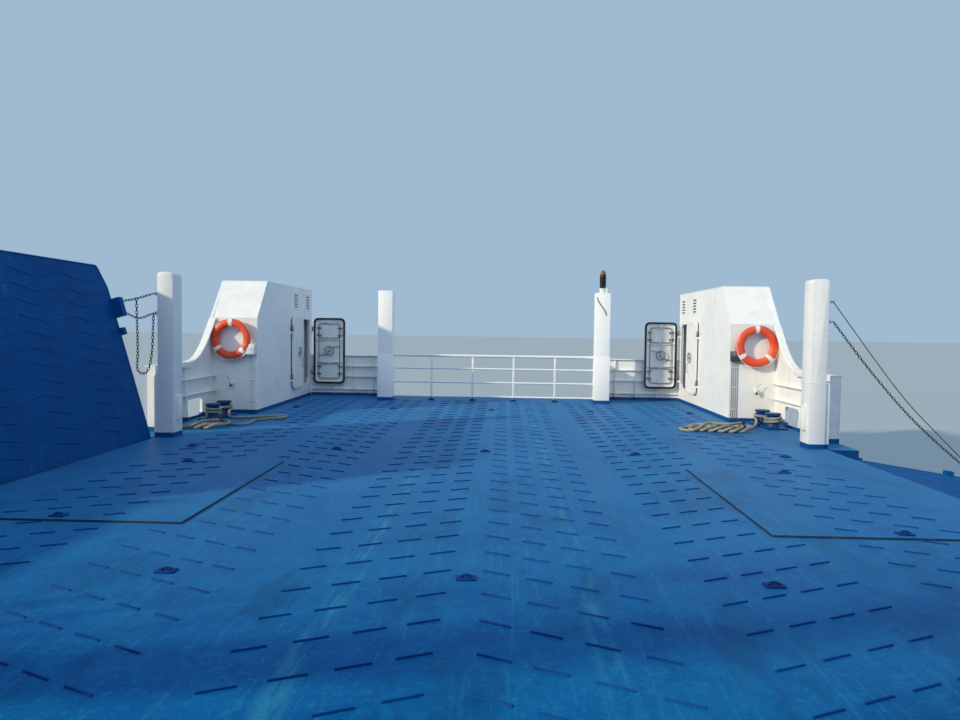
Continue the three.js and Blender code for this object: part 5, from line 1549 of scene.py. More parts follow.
class FERRY_OT_chains(bpy.types.Operator):
    """Builds the chains, shackles and wire that hold the side ramps"""
    bl_idname = "ferry.chains"
    bl_label = "Ramp Chains"

    def execute(self, context):
        s = sizes()
        start = EYE_X + 0.028
        for side_name, side in SIDES.items():
            made = Piece(f"ramp_chains_{side_name}", places=MIRROR[side])
            turn = MIRROR[side][0]
            upper = ramp_point(side_name, 2.085, CHAIN_Y, 0.088)
            lower = ramp_point(side_name, 1.905, CHAIN_Y, 0.088)
            if side_name == "stbd":
                runs = [[
                    (start, CHAIN_Y, EYE_LOW - 0.004), (5.35, CHAIN_Y, DECK + 1.12), (5.95, CHAIN_Y, DECK + 0.45),
                    (6.6, CHAIN_Y, DECK - 0.13), (upper.x - 0.01, CHAIN_Y, upper.z + 0.01),
                ]]
                lugs = [upper]
                wire_path = flowing([Vector(point) for point in (
                    (EYE_X + 0.012, CHAIN_Y, EYE_HIGH), (5.731, CHAIN_Y, DECK + 0.86),
                    (6.3, CHAIN_Y, DECK + 0.25), upper)], 0.05)
                made.add(bent_pipe(wire_path, 0.006, 8), chain_steel())
            else:
                middle = Vector(((upper.x + start) / 2 + 0.015, CHAIN_Y, DECK + 1.995))
                runs = [
                    [(start, CHAIN_Y, EYE_HIGH - 0.004), middle, (upper.x - 0.01, CHAIN_Y, upper.z)],
                    [(start, CHAIN_Y, EYE_LOW - 0.004), ((lower.x + start) / 2, CHAIN_Y, DECK + 1.715),
                     (lower.x - 0.01, CHAIN_Y, lower.z)],
                    [(start - 0.008, CHAIN_Y, EYE_LOW - 0.008), (start + 0.016, CHAIN_Y, DECK + 1.258),
                     (start + 0.07, CHAIN_Y, DECK + 0.98), (start + 0.15, CHAIN_Y, DECK + 0.912),
                     (start + 0.235, CHAIN_Y, DECK + 0.985), (middle.x - 0.015, CHAIN_Y, DECK + 1.255),
                     (middle.x, CHAIN_Y, middle.z + 0.008)],
                ]
                lugs = [upper, lower]
            for points in runs:
                made.add(chain_link(s.link_pitch, s.link_wire / 2, 0.019), chain_steel(),
                         [turn @ place for place in chain_places(points, s.link_pitch)])
            for z in (EYE_HIGH, EYE_LOW):
                bow_shackle(made, turn @ at(EYE_X + 0.004, CHAIN_Y - 0.005, z), 0.026, chain_steel())
            for lug in lugs:
                made.add(round_bar((lug.x, 12.0165, lug.z), (lug.x, CHAIN_Y + 0.012, lug.z), 0.013, 12, round_by=0.003),
                         chain_steel())
                made.add(round_bar((lug.x, 12.0165, lug.z), (lug.x, 12.026, lug.z), 0.026, 16, round_by=0.002),
                         chain_steel())
            made.done("steel", [f"chain_{side_name}"])
        return {"FINISHED"}


# Passenger deck, boat deck and wheelhouse

UPPER, BOAT = 6.55, 8.97
SALOON_WINDOWS = (7.5, 8.35)
BRIDGE_WINDOWS = (9.95, 10.85)


def window_frame(piece, axis, plane, middle, half, heights, outward):
    """A rubber frame with a painted lip above it, round a pane in a wall."""
    ring = rounded_outline(middle - half + 0.012, middle + half - 0.012, heights[0] + 0.012, heights[1] - 0.012, 0.1)
    proud = plane + outward * 0.004

    def spot(a, b, depth=0):
        return Vector((proud + outward * depth, a, b)) if axis == "X" else Vector((a, proud + outward * depth, b))
    piece.add(bent_pipe([spot(a, b) for a, b in ring], 0.024, 8, closed=True), rubber())
    corner_fill = rounded_outline(middle - half, middle + half, heights[0], heights[1], 0.004)
    inside = rounded_outline(middle - half + 0.012, middle + half - 0.012, heights[0] + 0.012, heights[1] - 0.012, 0.1)
    shape = ring_plate(corner_fill, inside, -0.02, 0)
    if axis == "Y":
        bmesh.ops.rotate(shape, verts=shape.verts, cent=(0, 0, 0), matrix=Matrix.Rotation(math.pi / 2, 3, "Z"))
        bmesh.ops.scale(shape, vec=(-1, 1, 1), verts=shape.verts)
    offset = (proud - (0 if outward > 0 else -0.02), 0, 0)
    if axis == "Y":
        offset = (0, offset[0], 0)
    bmesh.ops.translate(shape, vec=offset, verts=shape.verts)
    piece.add(shape, white_paint())
    lip = [spot(middle - half - 0.03, heights[1] + 0.035, 0.008), spot(middle + half + 0.03, heights[1] + 0.035, 0.008)]
    piece.add(bent_pipe([lip[0] - Vector((0, 0, 0.04)), *lip, lip[1] - Vector((0, 0, 0.04))], 0.01, 8), white_paint())


class FERRY_OT_windows(bpy.types.Operator):
    """Frames the panes of the saloon and wheelhouse and adds wipers"""
    bl_idname = "ferry.windows"
    bl_label = "Window Frames"

    def execute(self, context):
        frames = Piece("window_frames")
        for index in range(8):
            for side in (1, -1):
                window_frame(frames, "X", side * 4.4, -14.625 + 1.75 * index, 0.65, SALOON_WINDOWS, side)
        for x in (-3.3, -1.65, 1.65, 3.3):
            window_frame(frames, "Y", -1.5, x, 0.6, SALOON_WINDOWS, 1)
        for x in (-1.4, 0, 1.4):
            window_frame(frames, "Y", -1, x, 0.6, BRIDGE_WINDOWS, 1)
        for y in (-3.9, -2.75, -1.6):
            for side in (1, -1):
                window_frame(frames, "X", side * 2.2, y, 0.48, BRIDGE_WINDOWS, side)
        for x in (-1.35, 1.35):
            window_frame(frames, "Y", -4.5, x, 0.55, BRIDGE_WINDOWS, -1)
        # Wipers and their motors in front of the wheelhouse
        for x in (-1.4, 0, 1.4):
            frames.add(block((x - 0.07, -1.01, 10.9), (x + 0.07, -0.93, 11), 0.012), white_plastic())
            frames.add(bent_pipe([(x, -0.945, 10.93), (x + 0.05, -0.955, 10.6), (x + 0.09, -0.965, 10.34)], 0.008, 8),
                       lamp_black())
            frames.add(block((x + 0.078, -0.972, 10.12), (x + 0.098, -0.958, 10.62), 0.004), rubber())
        # Coamings of the saloon's doorways
        for y, out in ((-1.5, 1), (-15.5, -1)):
            rim = [Vector((a, y + out * 0.006, b)) for a, b in rounded_outline(-0.505, 0.505, 6.645, 8.605, 0.03)]
            frames.add(bent_pipe(rim, 0.022, 8, closed=True), white_paint())
            frames.add(block((-0.62, y, 8.66), (0.62, y + out * 0.14, 8.685), 0.006), white_paint())
        frames.done("window")
        return {"FINISHED"}


def porthole(piece, x, y, z, radius=0.17):
    face = at(x, y, z, turn=90, axis="Y")
    piece.add(hoop(radius, 0.022, face, 32, 8, squeeze=0.7), white_paint())
    piece.add(turned([(0, 0.004), (radius - 0.01, 0.004), (radius - 0.01, -0.01), (0, -0.01)], face, 32), lamp_black())
    piece.add(hoop(radius - 0.018, 0.009, face @ at(0, 0, 0.006), 32, 8), rubber())
    for angle in range(0, 360, 45):
        a = math.radians(angle)
        piece.add(turned([(0, 0.03), (0.01, 0.028), (0.01, 0), (0, 0)],
                         face @ at(radius * math.cos(a), radius * math.sin(a), 0), 6), galvanised())
    brow = [face @ Vector((-(radius + 0.045) * math.cos(a), (radius + 0.045) * math.sin(a), 0.012))
            for a in (math.radians(angle) for angle in range(-75, 76, 15))]
    piece.add(bent_pipe(brow, 0.01, 8), white_paint())


class FERRY_OT_casings(bpy.types.Operator):
    """Adds portholes, louvres, doors and fenders to the side casings"""
    bl_idname = "ferry.casings"
    bl_label = "Casing Fittings"

    def execute(self, context):
        made = Piece("casing_fittings", places=BOTH)
        paint = white_paint()
        for y in (-14.6, -12.4, -10.2, -5.8, -3.6, -1.4):
            porthole(made, 5.203, y, 4.62)
        # Engine room louvres amidships, each with a black sheet behind its blades: painted shade for the dark behind
        # them
        for y in (-8.6, -7.4):
            rim = [Vector((5.206, a, b)) for a, b in rounded_outline(y - 0.45, y + 0.45, 4.85, 5.75, 0.05)]
            made.add(bent_pipe(rim, 0.018, 8, closed=True), paint)
            made.add(block((5.2, y - 0.44, 4.86), (5.204, y + 0.44, 5.74)), lamp_black())
            for blade in range(12):
                z = 4.9 + 0.072 * blade
                made.add(cut_out([(5.202, z), (5.225, z - 0.02), (5.225, z - 0.014), (5.202, z + 0.03)],
                                 "Y", y - 0.435, y + 0.435), paint)
        # Doors to the casing from the vehicle deck, with rubber seals and handles
        for y in (-2.2, -9, -15.2):
            outline = rounded_outline(y - 0.38, y + 0.38, DECK + 0.25, DECK + 1.95, 0.12)
            inner = rounded_outline(y - 0.34, y + 0.34, DECK + 0.29, DECK + 1.91, 0.1)
            low, high = sorted((CASING_WALL, 3.672))
            made.add(ring_plate(outline, inner, low, high, 0.003), rubber())
            made.add(cut_out(rounded_outline(y - 0.345, y + 0.345, DECK + 0.285, DECK + 1.915, 0.1), "X",
                             CASING_WALL, 3.668, 0.004), door_paint())
            for z in (0.62, 1.1, 1.58):
                made.add(block((3.664, y - 0.33, DECK + z - 0.015),
                               (3.672, y + 0.33, DECK + z + 0.015), 0.002), door_paint())
                made.add(bent_pipe([(3.65, y + 0.3, DECK + z + 0.05), (3.645, y + 0.38, DECK + z + 0.09)],
                                   0.01, 8), galvanised())
            for z in (0.55, 1.65):
                made.add(round_bar((3.68, y - 0.4, DECK + z - 0.06), (3.68, y - 0.4, DECK + z + 0.06), 0.016),
                         galvanised())
        # Fender rail and pipes along the inner wall, lamps under the deck head
        made.add(block((3.64, -16.3, DECK + 0.42), (CASING_WALL, 0.45, DECK + 0.56), 0.012), paint)
        for x, z, radius in ((3.61, 6.24, 0.03), (3.53, 6.26, 0.022)):
            made.add(bent_pipe([(x, -16.4, z), (x, 0.5, z)], radius, 10), paint)
        for y in (-15, -12, -9, -6, -3, -0.2):
            made.add(block((1.81, y - 0.6, 6.33), (1.99, y + 0.6, DECK_HEAD), 0.02), white_plastic())
            knee = [(3.2, DECK_HEAD), (CASING_WALL, DECK_HEAD), (CASING_WALL, 5.95)]
            made.add(cut_out(knee, "Y", y - 0.99, y - 0.98), paint)
        # Beams under the passenger deck
        for y in [-17.2 + 1.5 * index for index in range(13)]:
            made.add(block((-3.695, y - 0.006, 6.31), (3.695, y + 0.006, DECK_HEAD)), paint, ONCE)
            made.add(block((-3.695, y - 0.05, 6.3), (3.695, y + 0.05, 6.31), 0.002), paint, ONCE)
        made.done("white_paint")
        return {"FINISHED"}


class FERRY_OT_upper_decks(bpy.types.Operator):
    """Builds the boat deck's rail and adds rims, brackets, lamps, boxes and liferings to the upper decks"""
    bl_idname = "ferry.upper_decks"
    bl_label = "Upper Deck Fittings"

    def execute(self, context):
        rail = Piece("boat_deck_guard_rail")
        paint = rail_paint()
        x, y0, y1 = 5.14, -17.44, 0.74
        corners = [(x, y0), (x, y1), (-x, y1), (-x, y0)]
        for height, radius in ((1, 0.021), (0.76, 0.011), (0.52, 0.016), (0.28, 0.011)):
            rail.add(bent_pipe([(a, b, BOAT + height) for a, b in corners], radius, 12, closed=True), paint)
        posts = [(side * x, y0 + (y1 - y0) * index / 12) for side in (1, -1) for index in range(13)]
        posts += [(px, y) for px in (-3.6, -2.4, -1.2, 0, 1.2, 2.4, 3.6) for y in (y0, y1)]
        for px, py in posts:
            rail.add(round_bar((px, py, BOAT + 0.0005), (px, py, BOAT + 0.99), 0.016, 10), paint)
            rail.add(turned([(0, 0), (0.045, 0), (0.045, 0.008), (0.022, 0.012), (0, 0.012)],
                            at(px, py, BOAT + 0.0005), 16), paint)
        rail.done("white_paint", ["boat_deck_rail"])
        trim = Piece("deck_edge_trim")
        trim.add(bent_pipe([(5.18, -17.78, UPPER_CAP), (5.18, 1.18, UPPER_CAP)], 0.026, 12), rail_paint(), BOTH)
        for y in [-17 + 1.15 * index for index in range(16)]:
            trim.add(cut_out([(5.158, 7.58), (5.09, 7.58), (5.02, 6.551), (5.158, 6.551)],
                             "Y", y - 0.005, y + 0.005), white_paint(), BOTH)
        trim.add(bent_pipe([(5.02, -17.3, 8.8), (5.02, 0.6, 8.8)], 0.02, 8), white_paint(), BOTH)
        for y, a, b in ((1.18, -4.15, 4.15), (-17.78, -5.18, 5.18)):
            trim.add(bent_pipe([(a, y, UPPER_CAP), (b, y, UPPER_CAP)], 0.026, 12), rail_paint())
        # Gutter bar round the boat deck and the wheelhouse roof, and brackets on the pillars
        for half, a, b, z, radius in ((5.19, -17.49, 0.79, 8.972, 0.014), (2.44, -4.74, -0.56, 11.322, 0.012)):
            corners = [(half, a, z), (half, b, z), (-half, b, z), (-half, a, z)]
            trim.add(bent_pipe(corners, radius, 8, closed=True), white_paint())
        for y in (-17.3, -14.7, -11.7, -8.7, -5.7, -2.7, 0.6):
            trim.add(cut_out([(5, 8.849), (4.7, 8.849), (5, 8.5)], "Y", y - 0.006, y + 0.006),
                     white_paint(), BOTH)
        # Lamps under the boat deck's overhang, boxes for life jackets, liferings on the saloon's ends
        for y in (-16.4, -13, -10, -7, -4, -0.6):
            trim.add(block((4.64, y - 0.3, 8.8), (4.8, y + 0.3, 8.8495), 0.015), white_plastic(), BOTH)
        trim.add(block((3.35, -17.62, 6.551), (4.45, -17.2, 7.15), 0.03), white_plastic(), BOTH)
        trim.add(block((3.33, -17.64, 7.13), (4.47, -17.18, 7.18), 0.015), white_plastic(), BOTH)
        for z in (6.75, 7):
            trim.add(block((3.84, -17.205, z), (3.96, -17.185, z + 0.05), 0.006), galvanised(), BOTH)
        ring = at(2.48, -1.44, 7.05, turn=90, axis="X")
        buoy_ring(trim, ring, (0.28, 0.07, 0.0725), (48, 14, 5), 0.62, (45, 135, 225, 315), 16, BOTH)
        trim.done("white_paint")
        return {"FINISHED"}


class FERRY_OT_funnels(bpy.types.Operator):
    """Adds bands, grilles, pipes and ladders to the funnels"""
    bl_idname = "ferry.funnels"
    bl_label = "Funnel Fittings"

    def execute(self, context):
        made = Piece("funnel_fittings", places=BOTH)
        # Grilles on the funnels, each with a black sheet behind its blades: painted shade for the dark behind them
        for x in (2.497, 3.503):
            for low in (9.35, 9.75):
                made.add(block((x, -12.6, low), ((x + 0.006), -11.5, low + 0.3)), lamp_black())
                for blade in range(4):
                    z = low + 0.03 + 0.075 * blade
                    made.add(block((x - 0.016, -12.62, z), (x + 0.016, -11.48, z + 0.012), 0.003), gloss_blue())
        band = [(2.488, -12.912, 10.65), (3.512, -12.912, 10.65), (3.512, -11.21, 10.65), (2.488, -11.21, 10.65)]
        made.add(bent_pipe([(x, y, z) for x, y, z in band], 0.016, 8, closed=True), gloss_blue())
        rim = [(2.5, -12.9, 11.072), (3.5, -12.9, 11.072), (3.5, -11.35, 11.272), (2.5, -11.35, 11.272)]
        made.add(bent_pipe([(x, y, z) for x, y, z in rim], 0.028, 10, closed=True), lamp_black())
        # Steps up the front of the casing
        for rung in range(7):
            z = 9.25 + 0.27 * rung
            y = -11.1 - 0.25 * (z - 8.97) / 2.3
            made.add(bent_pipe(soft_bend([
                (2.85, y, z), (2.85, y + 0.13, z), (3.15, y + 0.13, z), (3.15, y, z),
            ], 0.03), 0.009, 8), galvanised())
        # Exhaust rims and the smaller pipes beside them
        tip = Vector((3, -12.35, 11.62))
        made.add(hoop(0.155, 0.012, at(*tip, turn=15, axis="X"), 28, 8), lamp_black())
        made.add(turned([(0, -0.004), (0.146, -0.004), (0.146, 0.006), (0, 0.006)],
                        at(*tip, turn=15, axis="X"), 28), lamp_black())
        for dx in (-0.28, 0.28):
            made.add(bent_pipe(soft_bend([
                (3 + dx, -12.45, 11.05), (3 + dx, -12.45, 11.42), (3 + dx, -12.7, 11.52),
            ], 0.1), 0.045, 14), lamp_black())
        made.done("blue_paint")
        return {"FINISHED"}


class FERRY_OT_rafts(bpy.types.Operator):
    """Adds the seams, straps and releases of the life raft canisters"""
    bl_idname = "ferry.rafts"
    bl_label = "Life Rafts"

    def execute(self, context):
        for side_name, side in SIDES.items():
            made = Piece(f"raft_canister_{side_name}", lift=BOAT, places=MIRROR[side])
            axis = at(4.55, -9, 0.5603, turn=-90, axis="X")
            made.add(turned([
                (0, 0), (0.24, 0.004), (0.3, 0.03), (0.325, 0.08), (0.325, 0.24), (0.332, 0.26), (0.332, 0.3),
                (0.325, 0.32), (0.325, 0.62), (0.336, 0.63), (0.336, 0.67), (0.325, 0.68), (0.325, 0.98), (0.332, 1),
                (0.332, 1.04), (0.325, 1.06), (0.325, 1.22), (0.3, 1.27), (0.24, 1.296), (0, 1.3),
            ], axis, 40), white_plastic())
            for y in (-8.75, -7.95):
                made.add(hoop(0.336, 0.009, at(4.55, y, 0.5603, turn=90, axis="X"), 40, 6), lamp_black())
                made.add(cut_out([
                    (4.22, 0.0005), (4.88, 0.0005), (4.8, 0.42), (4.68, 0.27), (4.42, 0.27), (4.3, 0.42),
                ], "Y", y - 0.035, y + 0.035, 0.006), galvanised())
                for x in (4.25, 4.85):
                    made.add(block((x - 0.04, y - 0.07, 0.0005), (x + 0.04, y + 0.07, 0.012), 0.004),
                             galvanised())
                made.add(round_bar((4.86, y, 0.34), (4.9, y, 0.34), 0.045, 16, round_by=0.006), white_plastic())
            made.done("white_plastic", [f"life_raft_{side_name}"])
        return {"FINISHED"}


def lantern(piece, x, y, z, glow):
    """A navigation light: base, lens and cap."""
    place = at(x, y, z)
    piece.add(turned([(0, 0), (0.075, 0), (0.075, 0.03), (0.058, 0.04), (0, 0.04)], place, 20), lamp_black())
    piece.add(turned([(0, 0.038), (0.06, 0.038), (0.064, 0.08), (0.06, 0.12), (0, 0.12)], place, 20), glow)
    piece.add(turned([(0, 0.119), (0.07, 0.119), (0.072, 0.135), (0.045, 0.155), (0, 0.16)], place, 20), lamp_black())


class FERRY_OT_masts(bpy.types.Operator):
    """Builds the scanner and adds lights, steps, stays and aerials above the wheelhouse"""
    bl_idname = "ferry.masts"
    bl_label = "Mast and Radar"

    def execute(self, context):
        scanner = Piece("radar_bar", "scanner")
        foot = 11.7
        scanner.add(block((-0.95, -2.26, foot + 0.062), (0.95, -2.14, foot + 0.158), 0.03, 4), white_plastic())
        boss = [(0, 0.0003), (0.075, 0.0003), (0.06, 0.03), (0.06, 0.07), (0, 0.07)]
        scanner.add(turned(boss, at(0, -2.2, foot), 24), white_plastic())
        scanner.add(block((-0.9, -2.135, foot + 0.085), (0.9, -2.1385, foot + 0.135)), lamp_black())
        scanner.done("white_plastic", ["radar_scanner"])
        made = Piece("mast_fittings")
        paint = white_paint()
        made.add(turned([
            (0, 0), (0.24, 0), (0.24, 0.02), (0.2, 0.04), (0.2, 0.2), (0.17, 0.235), (0.135, 0.24), (0, 0.24),
        ], at(0, -2.2, 11.455), 28), white_plastic())
        for step in range(6):
            z = 11.55 + 0.27 * step
            made.add(bent_pipe(soft_bend([
                (-0.13, -3.86, z), (-0.13, -3.98, z), (0.13, -3.98, z), (0.13, -3.86, z),
            ], 0.03), 0.009, 8), galvanised())
        for x, z in ((-0.85, 13.08), (0.85, 13.08), (0, 14.4)):
            lantern(made, x, -3.7, z, white_plastic())
        for z in (12.2, 12.75):
            made.add(block((-0.1, -3.64, z - 0.012), (0.1, -3.42, z), 0.003), paint)
            lantern(made, 0, -3.52, z, white_plastic())
        # Side lights in their boards
        for side, glow in ((1, green_lens()), (-1, red_lens())):
            made.add(block((side * 2.3 - 0.16, -1.45, 11), (side * 2.3 + 0.1, -0.95, 11.02), 0.003), lamp_black())
            made.add(block((side * 2.215 - 0.006, -1.45, 11), (side * 2.215 + 0.006, -0.95, 11.24)), lamp_black())
            lantern(made, side * 2.33, -1.25, 11.02, glow)
        # Stays, aerials, horn and searchlight
        for x, y in ((1.9, -0.9), (-1.9, -0.9), (2.2, -4.6), (-2.2, -4.6)):
            made.add(bent_pipe([(0, -3.7, 13.55), (x, y, 11.33)], 0.005, 6), galvanised())
            made.add(hoop(0.03, 0.008, at(x, y, 11.345, turn=90, axis="X"), 14, 6), galvanised())
        for x, y, z, high in ((1.6, -4.4, 11.32, 2.6), (-1.6, -4.4, 11.32, 2.1), (0.55, -3.7, 13.08, 0.9)):
            made.add(round_bar((x, y, z), (x, y, z + 0.16), 0.022, 12), lamp_black())
            made.add(round_bar((x, y, z + 0.15), (x, y, z + high), 0.007, 8, far_radius=0.003), white_plastic())
        dome = [(0, 0), (0.16, 0), (0.18, 0.06), (0.16, 0.18), (0.09, 0.25), (0, 0.27)]
        made.add(turned(dome, at(-1.2, -3.2, 11.32), 28), white_plastic())
        for x in (-0.55, 0.55):
            made.add(round_bar((x, -1, 11.4), (x, -0.62, 11.4), 0.03, 16, far_radius=0.085), white_plastic())
            made.add(block((x - 0.02, -1.02, 11.318), (x + 0.02, -0.9, 11.39), 0.004), galvanised())
        made.add(round_bar((1.2, -1.3, 11.48), (1.2, -1.05, 11.48), 0.12, 24, round_by=0.01), lamp_black())
        made.add(turned([(0, 0), (0.105, 0), (0.105, 0.012), (0, 0.03)],
                        at(1.2, -1.05, 11.48, turn=-90, axis="X"), 24), white_plastic())
        made.add(round_bar((1.2, -1.18, 11.318), (1.2, -1.18, 11.4), 0.025, 12), galvanised())
        made.done("white_paint")
        return {"FINISHED"}


class FERRY_OT_interiors(bpy.types.Operator):
    """Furnishes the saloon and the wheelhouse"""
    bl_idname = "ferry.interiors"
    bl_label = "Saloon and Wheelhouse"

    def execute(self, context):
        seats = Piece("saloon_seat_rows")
        base = UPPER + 0.0003
        shell = bmesh.new()
        profile = [
            (0.47, 0.415), (0.44, 0.445), (0.3, 0.425), (0.14, 0.405), (0.085, 0.44), (0.045, 0.62), (0.015, 0.84),
            (0.005, 0.955), (-0.025, 0.965), (-0.05, 0.94), (-0.03, 0.7), (0.005, 0.46), (0.05, 0.375), (0.2, 0.365),
            (0.4, 0.375),
        ]
        front = [shell.verts.new((-0.24, a, b)) for a, b in profile]
        face = shell.faces.new(front)
        moved = bmesh.ops.extrude_face_region(shell, geom=[face])["geom"]
        bmesh.ops.translate(shell, vec=(0.48, 0, 0), verts=[g for g in moved if isinstance(g, bmesh.types.BMVert)])
        soften(shell, (edge for edge in shell.edges if edge.calc_face_angle(0) > 1.2), 0.012)
        rows = [-14.2 + 1.38 * index for index in range(9)]
        columns = [1.16 + 0.535 * index for index in range(6)]
        spots = [Matrix.Translation((side * x, y, base)) for side in (1, -1) for y in rows for x in columns]
        seats.add(shell, seat_shell(), spots)
        for side in (1, -1):
            for y in rows:
                middle = side * 2.5
                beam = block((middle - 1.6, y + 0.16, base + 0.31), (middle + 1.6, y + 0.22, base + 0.362), 0.006)
                seats.add(beam, galvanised())
                for x in (side * 1.1, middle, side * 3.9):
                    seats.add(round_bar((x, y + 0.19, base), (x, y + 0.19, base + 0.32), 0.024, 12), galvanised())
                    foot = block((x - 0.05, y + 0.02, base), (x + 0.05, y + 0.36, base + 0.014), 0.004)
                    seats.add(foot, galvanised())
        seats.done("seat", ["saloon_seats"])
        helm = Piece("wheelhouse_helm")
        floor = BOAT + 0.0003
        desk = [(-1.75, floor), (-1.15, floor), (-1.15, 9.86), (-1.35, 9.895), (-1.84, 9.775)]
        helm.add(cut_out(desk, "X", -1.7, 1.7, 0.014), console_skin())
        slope = at(0, -1.6, 9.845, turn=13.7, axis="X")
        for x in (-1.3, -0.65, 0, 0.65, 1.3):
            helm.add(block((x - 0.24, -0.17, -0.004), (x + 0.24, 0.17, 0.014), 0.006), lamp_black(), [slope])
            for knob in (-0.16, 0, 0.16):
                button = turned([(0, 0), (0.018, 0), (0.014, 0.022), (0, 0.024)], at(x + knob, -0.205, 0.002), 14)
                helm.add(button, white_plastic(), [slope])
        for x in (-0.75, 0.75):
            helm.add(block((x - 0.22, -1.42, 9.92), (x + 0.22, -1.36, 10.24), 0.012), lamp_black())
            helm.add(block((x - 0.05, -1.41, 9.86), (x + 0.05, -1.37, 9.93), 0.006), lamp_black())
        hub = at(0, -1.905, 9.7, turn=70, axis="X")
        helm.add(hoop(0.17, 0.014, hub, 32, 8), lamp_black())
        for spoke in range(3):
            a = math.radians(90 + 120 * spoke)
            helm.add(round_bar((0, 0, 0), (0.17 * math.cos(a), 0.17 * math.sin(a), 0), 0.01, 8), lamp_black(), [hub])
        helm.add(turned([(0, 0), (0.22, 0), (0.2, 0.02), (0.062, 0.05), (0.06, 0.45), (0.1, 0.49), (0, 0.49)],
                        at(0, -2.5, floor), 28), galvanised())
        helm.add(block((-0.28, -2.8, 9.45), (0.28, -2.25, 9.56), 0.035, 4), console_skin())
        helm.add(block((-0.27, -2.88, 9.52), (0.27, -2.79, 10.25), 0.035, 4), console_skin())
        helm.add(block((-0.14, -2.87, 10.27), (0.14, -2.8, 10.45), 0.03, 4), console_skin())
        for x in (-0.32, 0.32):
            helm.add(block((x - 0.035, -2.8, 9.68), (x + 0.035, -2.4, 9.73), 0.015, 3), lamp_black())
            helm.add(round_bar((x, -2.75, 9.5), (x, -2.75, 9.69), 0.014, 10), galvanised())
        helm.add(block((-0.28, -2.7, floor), (0.28, -1.7, floor + 0.02), 0.004), rubber())
        helm.done("console", ["wheelhouse_console"])
        return {"FINISHED"}


class FERRY_OT_stairs(bpy.types.Operator):
    """Adds handrails and treads to the two stairs"""
    bl_idname = "ferry.stairs"
    bl_label = "Stairs"

    def execute(self, context):
        made = Piece("stair_fittings", places=BOTH)
        rise, run = UPPER - DECK, 4.5 - 1.22
        for x in (4.23, 4.97):
            for lift, radius in ((0.95, 0.02), (0.52, 0.014)):
                made.add(bent_pipe(soft_bend([
                    (x, 4.46, DECK + 0.08), (x, 4.46, DECK + 0.08 + lift), (x, 1.3, UPPER - 0.04 + lift),
                    (x, 1.1, UPPER + 0.02 + lift),
                ], 0.1), radius, 10), rail_paint())
            for part in (0.28, 0.52, 0.76, 0.99):
                y, z = 4.46 - (run - 0.04) * part, DECK + 0.1 + (rise - 0.1) * part
                made.add(round_bar((x, y, z - 0.03), (x, y, z + 0.93), 0.016, 10), rail_paint())
        for index in range(1, 15):
            part = index / 15
            y, z = 4.5 - run * part, DECK + rise * part
            made.add(bent_pipe([(4.215, y + 0.172, z - 0.008), (4.985, y + 0.172, z - 0.008)], 0.009, 8),
                     galvanised())
            made.add(grip_bar(0.7, 0.01, 0.004), galvanised(), [
                half @ at(4.6, y - 0.035 + 0.042 * slot, z) for half in BOTH for slot in range(5)
            ])
            for x in (4.24, 4.96):
                made.add(cut_out([(y - 0.05, z - 0.029), (y + 0.16, z - 0.029), (y + 0.055, z - 0.12)],
                                 "X", (x - 0.004), (x + 0.004)), galvanised())
        made.done("steel")
        return {"FINISHED"}


class FERRY_OT_hull_fittings(bpy.types.Operator):
    """Adds strake brackets, scuppers, zinc blocks and boarding step pads to the hull"""
    bl_idname = "ferry.hull_fittings"
    bl_label = "Hull Fittings"

    def execute(self, context):
        made = Piece("hull_fittings", places=BOTH)
        # Lower strake: brackets under it at each frame; scuppers with lips over the water
        for y in [-16.5 + 1.5 * index for index in range(23)]:
            if 7 < y < 12.1:
                continue
            made.add(cut_out([(HULL_SIDE, 2.301), (5.262, 2.301), (HULL_SIDE, 2.16)], "Y", y - 0.006, y + 0.006),
                     hull_paint())
            made.add(cut_out([(HULL_SIDE, 1.751), (5.262, 1.751), (HULL_SIDE, 1.62)], "Y", y - 0.006, y + 0.006),
                     hull_paint())
        for y in (-14, -9.2, -4.4, 1.8, 5, 13.4, 16.4):
            made.add(round_bar((5.19, y, 2.1), (5.235, y, 2.095), 0.045, 20), hull_paint())
            made.add(round_bar((5.22, y, 2.1), (5.237, y, 2.095), 0.036, 20), lamp_black())
        # Zinc blocks under water
        for y in (-13, -8, -3, 3, 8, 13):
            made.add(block((5.19, y - 0.2, 0.86), (5.24, y + 0.2, 0.98), 0.01), galvanised())
        # Pads for boarding steps
        for z in (1.95, 2.14):
            made.add(bent_pipe(soft_bend([
                (5.195, 6.2, z), (5.29, 6.2, z), (5.29, 6.6, z), (5.195, 6.6, z),
            ], 0.03), 0.011, 8), hull_paint())
        made.done("hull_paint")
        return {"FINISHED"}


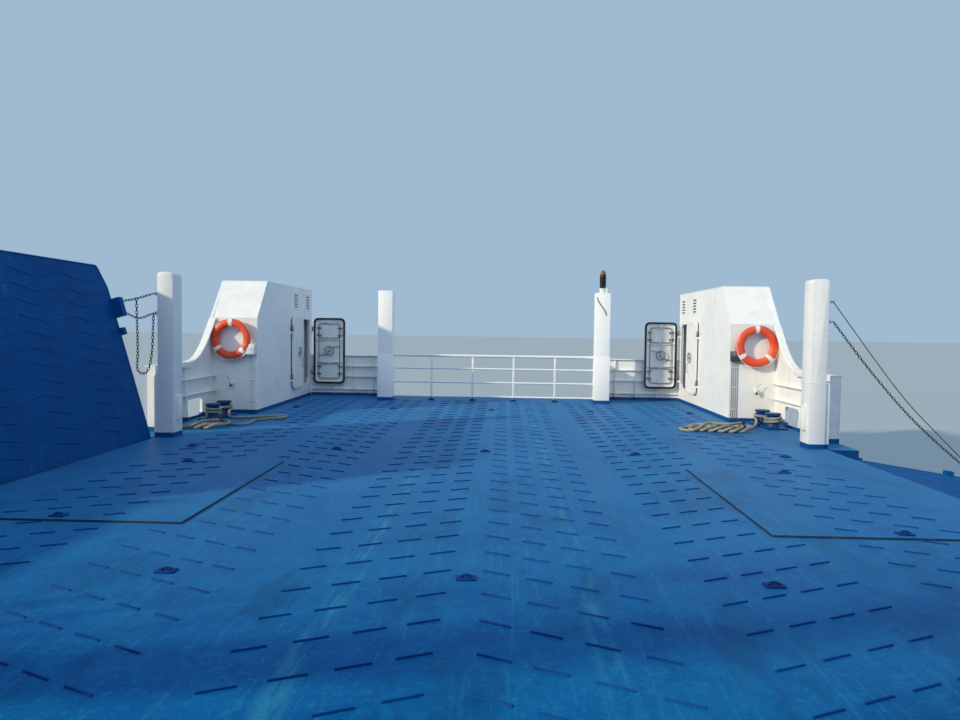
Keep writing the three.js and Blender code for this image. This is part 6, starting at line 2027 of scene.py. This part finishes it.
def finish_nodes():
    repaint(hull_paint(), "hull")
    repaint(dark_blue(), *on_both("ramp"))
    repaint(bottom_paint(), *on_both("rudder"))
    repaint(white_paint(), *on_both(
        "ramp_post", "end_post", "side_plating", "house_shell", "house_inner", "end_bulwark", "casing",
    ), "stern_bulwark", "saloon_walls", "wheelhouse_walls", "mast")
    repaint(door_paint(), *on_both("door_open", "door_shut"), "wheelhouse_door")
    repaint(deck_cover(), "passenger_deck", "boat_deck", "wheelhouse_roof")
    repaint(gloss_blue(), *on_both("bollard", "funnel"))
    repaint(rail_paint(), "end_rail", "boat_deck_rail")
    repaint(buoy_shell(), *on_both("lifebuoy"))
    repaint(chain_steel(), *on_both("chain"))
    repaint(galvanised(), *on_both("stairs"))
    repaint(bronze(), *on_both("propeller"))
    repaint(window_glass(), *on_both("saloon_glass"), "wheelhouse_glass")
    repaint(seat_shell(), "saloon_seats")
    repaint(white_plastic(), *on_both("life_raft"), "radar_scanner")
    repaint(lamp_black(), "beacon")
    repaint(console_skin(), "wheelhouse_console")


class FERRY_OT_paint(bpy.types.Operator):
    """Gives every carried-over part of the frame its paint or metal"""
    bl_idname = "ferry.paint"
    bl_label = "Paint the Frame"

    def execute(self, context):
        finish_nodes()
        return {"FINISHED"}


class FERRY_PT_panel(bpy.types.Panel):
    """Sizes, colours and building steps of the ferry"""
    bl_idname = "FERRY_PT_panel"
    bl_label = "Ferry"
    bl_space_type = "VIEW_3D"
    bl_region_type = "UI"
    bl_category = "Ferry"

    def draw(self, context):
        layout = self.layout
        for settings in (context.scene.ferry_sizes, context.scene.ferry_colours):
            column = layout.column()
            for key in type(settings).__annotations__:
                column.prop(settings, key)
        column = layout.column()
        for step in BUILD_STEPS:
            column.operator(step.bl_idname)


BUILD_STEPS = (
    FERRY_OT_camera, FERRY_OT_ropes, FERRY_OT_stage, FERRY_OT_paint, FERRY_OT_grip_bars,
    FERRY_OT_deck_fittings, FERRY_OT_ramps, FERRY_OT_posts, FERRY_OT_plating, FERRY_OT_doors,
    FERRY_OT_house_fittings, FERRY_OT_lifebuoys, FERRY_OT_deck_rails, FERRY_OT_chains, FERRY_OT_windows,
    FERRY_OT_casings, FERRY_OT_upper_decks, FERRY_OT_funnels, FERRY_OT_rafts, FERRY_OT_masts, FERRY_OT_interiors,
    FERRY_OT_stairs, FERRY_OT_hull_fittings,
)
CLASSES = (FerrySizes, FerryColours, *BUILD_STEPS, FERRY_PT_panel)


def register():
    for made in CLASSES:
        bpy.utils.register_class(made)
    bpy.types.Scene.ferry_sizes = bpy.props.PointerProperty(type=FerrySizes)
    bpy.types.Scene.ferry_colours = bpy.props.PointerProperty(type=FerryColours)


def unregister():
    del bpy.types.Scene.ferry_colours
    del bpy.types.Scene.ferry_sizes
    for made in reversed(CLASSES):
        bpy.utils.unregister_class(made)


def main():
    register()
    for step in BUILD_STEPS:
        family, name = step.bl_idname.split(".")
        getattr(getattr(bpy.ops, family), name)()


if __name__ == "__main__":
    main()
